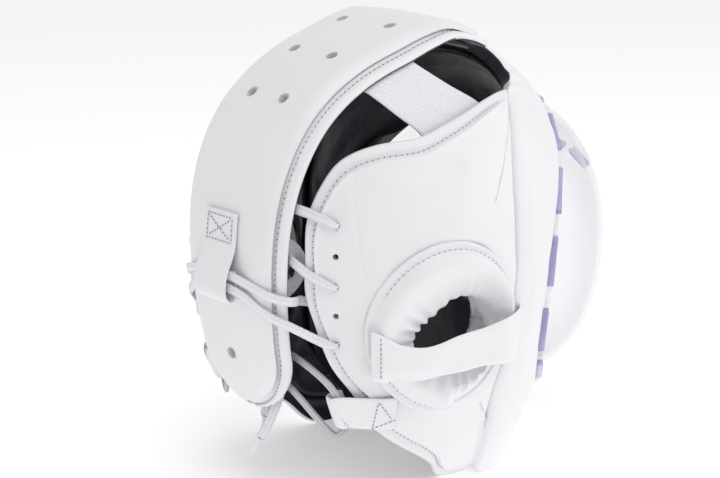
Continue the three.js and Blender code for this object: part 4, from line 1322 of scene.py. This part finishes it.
def lace(name, node_name, stops, steps):
    far = [(Vector((-p.x, p.y, p.z)), Vector((-o.x, o.y, o.z)), w) for p, o, w in reversed(stops)]
    route = [(seat(p), o, w * MM) for p, o, w in stops + far]
    length = sum((b[0] - a[0]).length for a, b in zip(route, route[1:]))
    bm = strap_skin(route, LACE_THICKNESS * MM, steps, (length, 2 * LACE_WIDTH * MM))
    made = piece(name, bm, [lace_weave])
    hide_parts(node_name)


lace("lace_run_upper", "lace_upper", in_hole(0) + [
    over_panel(150.5, 156.5, 4.1), over_panel(154.5, 159, 2.2), *under_strip(160, -41, -35),
], 150)
lace("lace_run_middle", "lace_middle", in_hole(2) + [
    over_panel(150.5, 126, 4.1), over_panel(154.5, 129.5, 2.4), *under_strip(174, -40, -34),
], 150)
BETWEEN = Vector((-1, 0.2, 0))
lace("lace_run_loop_upper", "lace_loop_upper", [
    over_panel(150.3, 109.5, -8.8), over_panel(153.2, 111, -8.4), over_panel(157.6, 113.5, -3.5, out=BETWEEN),
    over_panel(158, 114.5, 2, out=BETWEEN), on_strip(184.4, -41.6, 1.9), on_strip(183.6, -35.5, 3.6),
    on_strip(182, -28, 5.6), on_strip(180.8, -20, 7), on_strip(179.6, -12, 9), on_strip(179.6, -4, 9),
], 170)
lace("lace_run_loop_lower", "lace_loop_lower", in_hole(4) + [
    over_panel(149.8, 94, 4.4), over_panel(153, 96.5, 4), on_strip(191, -41.5, 2.6),
    on_strip(189.4, -35.5, 3.8), on_strip(187, -28, 5.6), on_strip(184.6, -20, 7), on_strip(183, -12, 9.6),
    on_strip(183, -4, 9.6),
], 170)

# ---- Nape tabs and elastics ---------------------------------------------------------------
# A folded leather tab on each panel's rear edge, sewn down with a stitched triangle, holds a
# loop of flat elastic that runs in behind the crown strip. The elastic is painted grey: painted
# shade, as it lies in shadow at the nape.
TAB_WIDTH, TAB_THICKNESS, TAB_BEND = 20, 2, 3.3
CORD_WIDTH, CORD_THICKNESS, CORD_DEPTH = 3.8, 2.4, 4.1
FOLD = Vector((-50.2, 73.2, 54))
TAB_LIFT = RAISED + GAP + TAB_THICKNESS / 2
tab_start = over_panel(138, 54.5, TAB_LIFT, TAB_WIDTH)
fold_along = Vector((-0.03, 0.36, 0.93)).normalized()
fold_out = -fold_along.cross(tab_start[0] - FOLD).normalized()
fold_into = fold_along.cross(fold_out).normalized()


def at_fold(into, out, along=0.0):
    return FOLD + fold_into * into + fold_out * out + fold_along * along


tab_route = [
    over_panel(131.8, 54, TAB_LIFT, TAB_WIDTH), tab_start,
    (at_fold(8, TAB_BEND), fold_out, TAB_WIDTH), (at_fold(3.5, TAB_BEND), fold_out, TAB_WIDTH),
    (at_fold(0, 0), -fold_into, TAB_WIDTH), (at_fold(3.5, -TAB_BEND), -fold_out, TAB_WIDTH),
    (at_fold(7.5, -TAB_BEND), -fold_out, TAB_WIDTH),
]
tab = piece("nape_tab_right_leather", strap_skin(
    [(seat(p), o, w * MM) for p, o, w in tab_route], TAB_THICKNESS * MM, 90, (0.06, 0.04),
), [white_leather])
for made in both_hands(tab, "nape_tab_right"):
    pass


def over_tab(phi, z, high):
    return side_point(phi, z, TAB_LIFT + TAB_THICKNESS / 2 - 1.95 + high)


triangle = box_row([(136.8, 62), (139, 46.5), (132.8, 50.5), (136.8, 62)], over_tab)
stitch_both_sides("nape_tab_{}_stitches", triangle, CLOSE_PITCH)
cord_route = [
    on_strip(203, -17, UNDER_STRIP - 1.8)[0], on_strip(203, -33, UNDER_STRIP - 1.4)[0],
    at_fold(CORD_DEPTH, 0, 13), at_fold(CORD_DEPTH, 0, -9), at_fold(CORD_DEPTH - 2, 0.2, -14),
    at_fold(CORD_DEPTH - 9, -1, -14.2), on_strip(212, -28, UNDER_STRIP + 1)[0],
    on_strip(210, -12, UNDER_STRIP - 1.2)[0],
]
# Painted grey all over as painted shade, and darker still in the weave's dips.
nape_elastic_painted_shade = woven("flat_elastic_painted_grey_shade", "#d9d8dd", "#b9b8c0", 0.0012, 0.0012, 0.00012)
nape = piece("nape_elastic_right_woven", strap_skin(
    [(seat(p), fold_out, CORD_WIDTH * MM) for p in cord_route], CORD_THICKNESS * MM, 130, (0.16, 0.008),
), [nape_elastic_painted_shade])
for made in both_hands(nape, "nape_elastic_right"):
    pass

# ---- Sizes and finish ---------------------------------------------------------------------
# The object's box is worked out before and after dressing.
[[list(map(float, corner)) for corner in corners] for corners in (cad_box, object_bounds())]
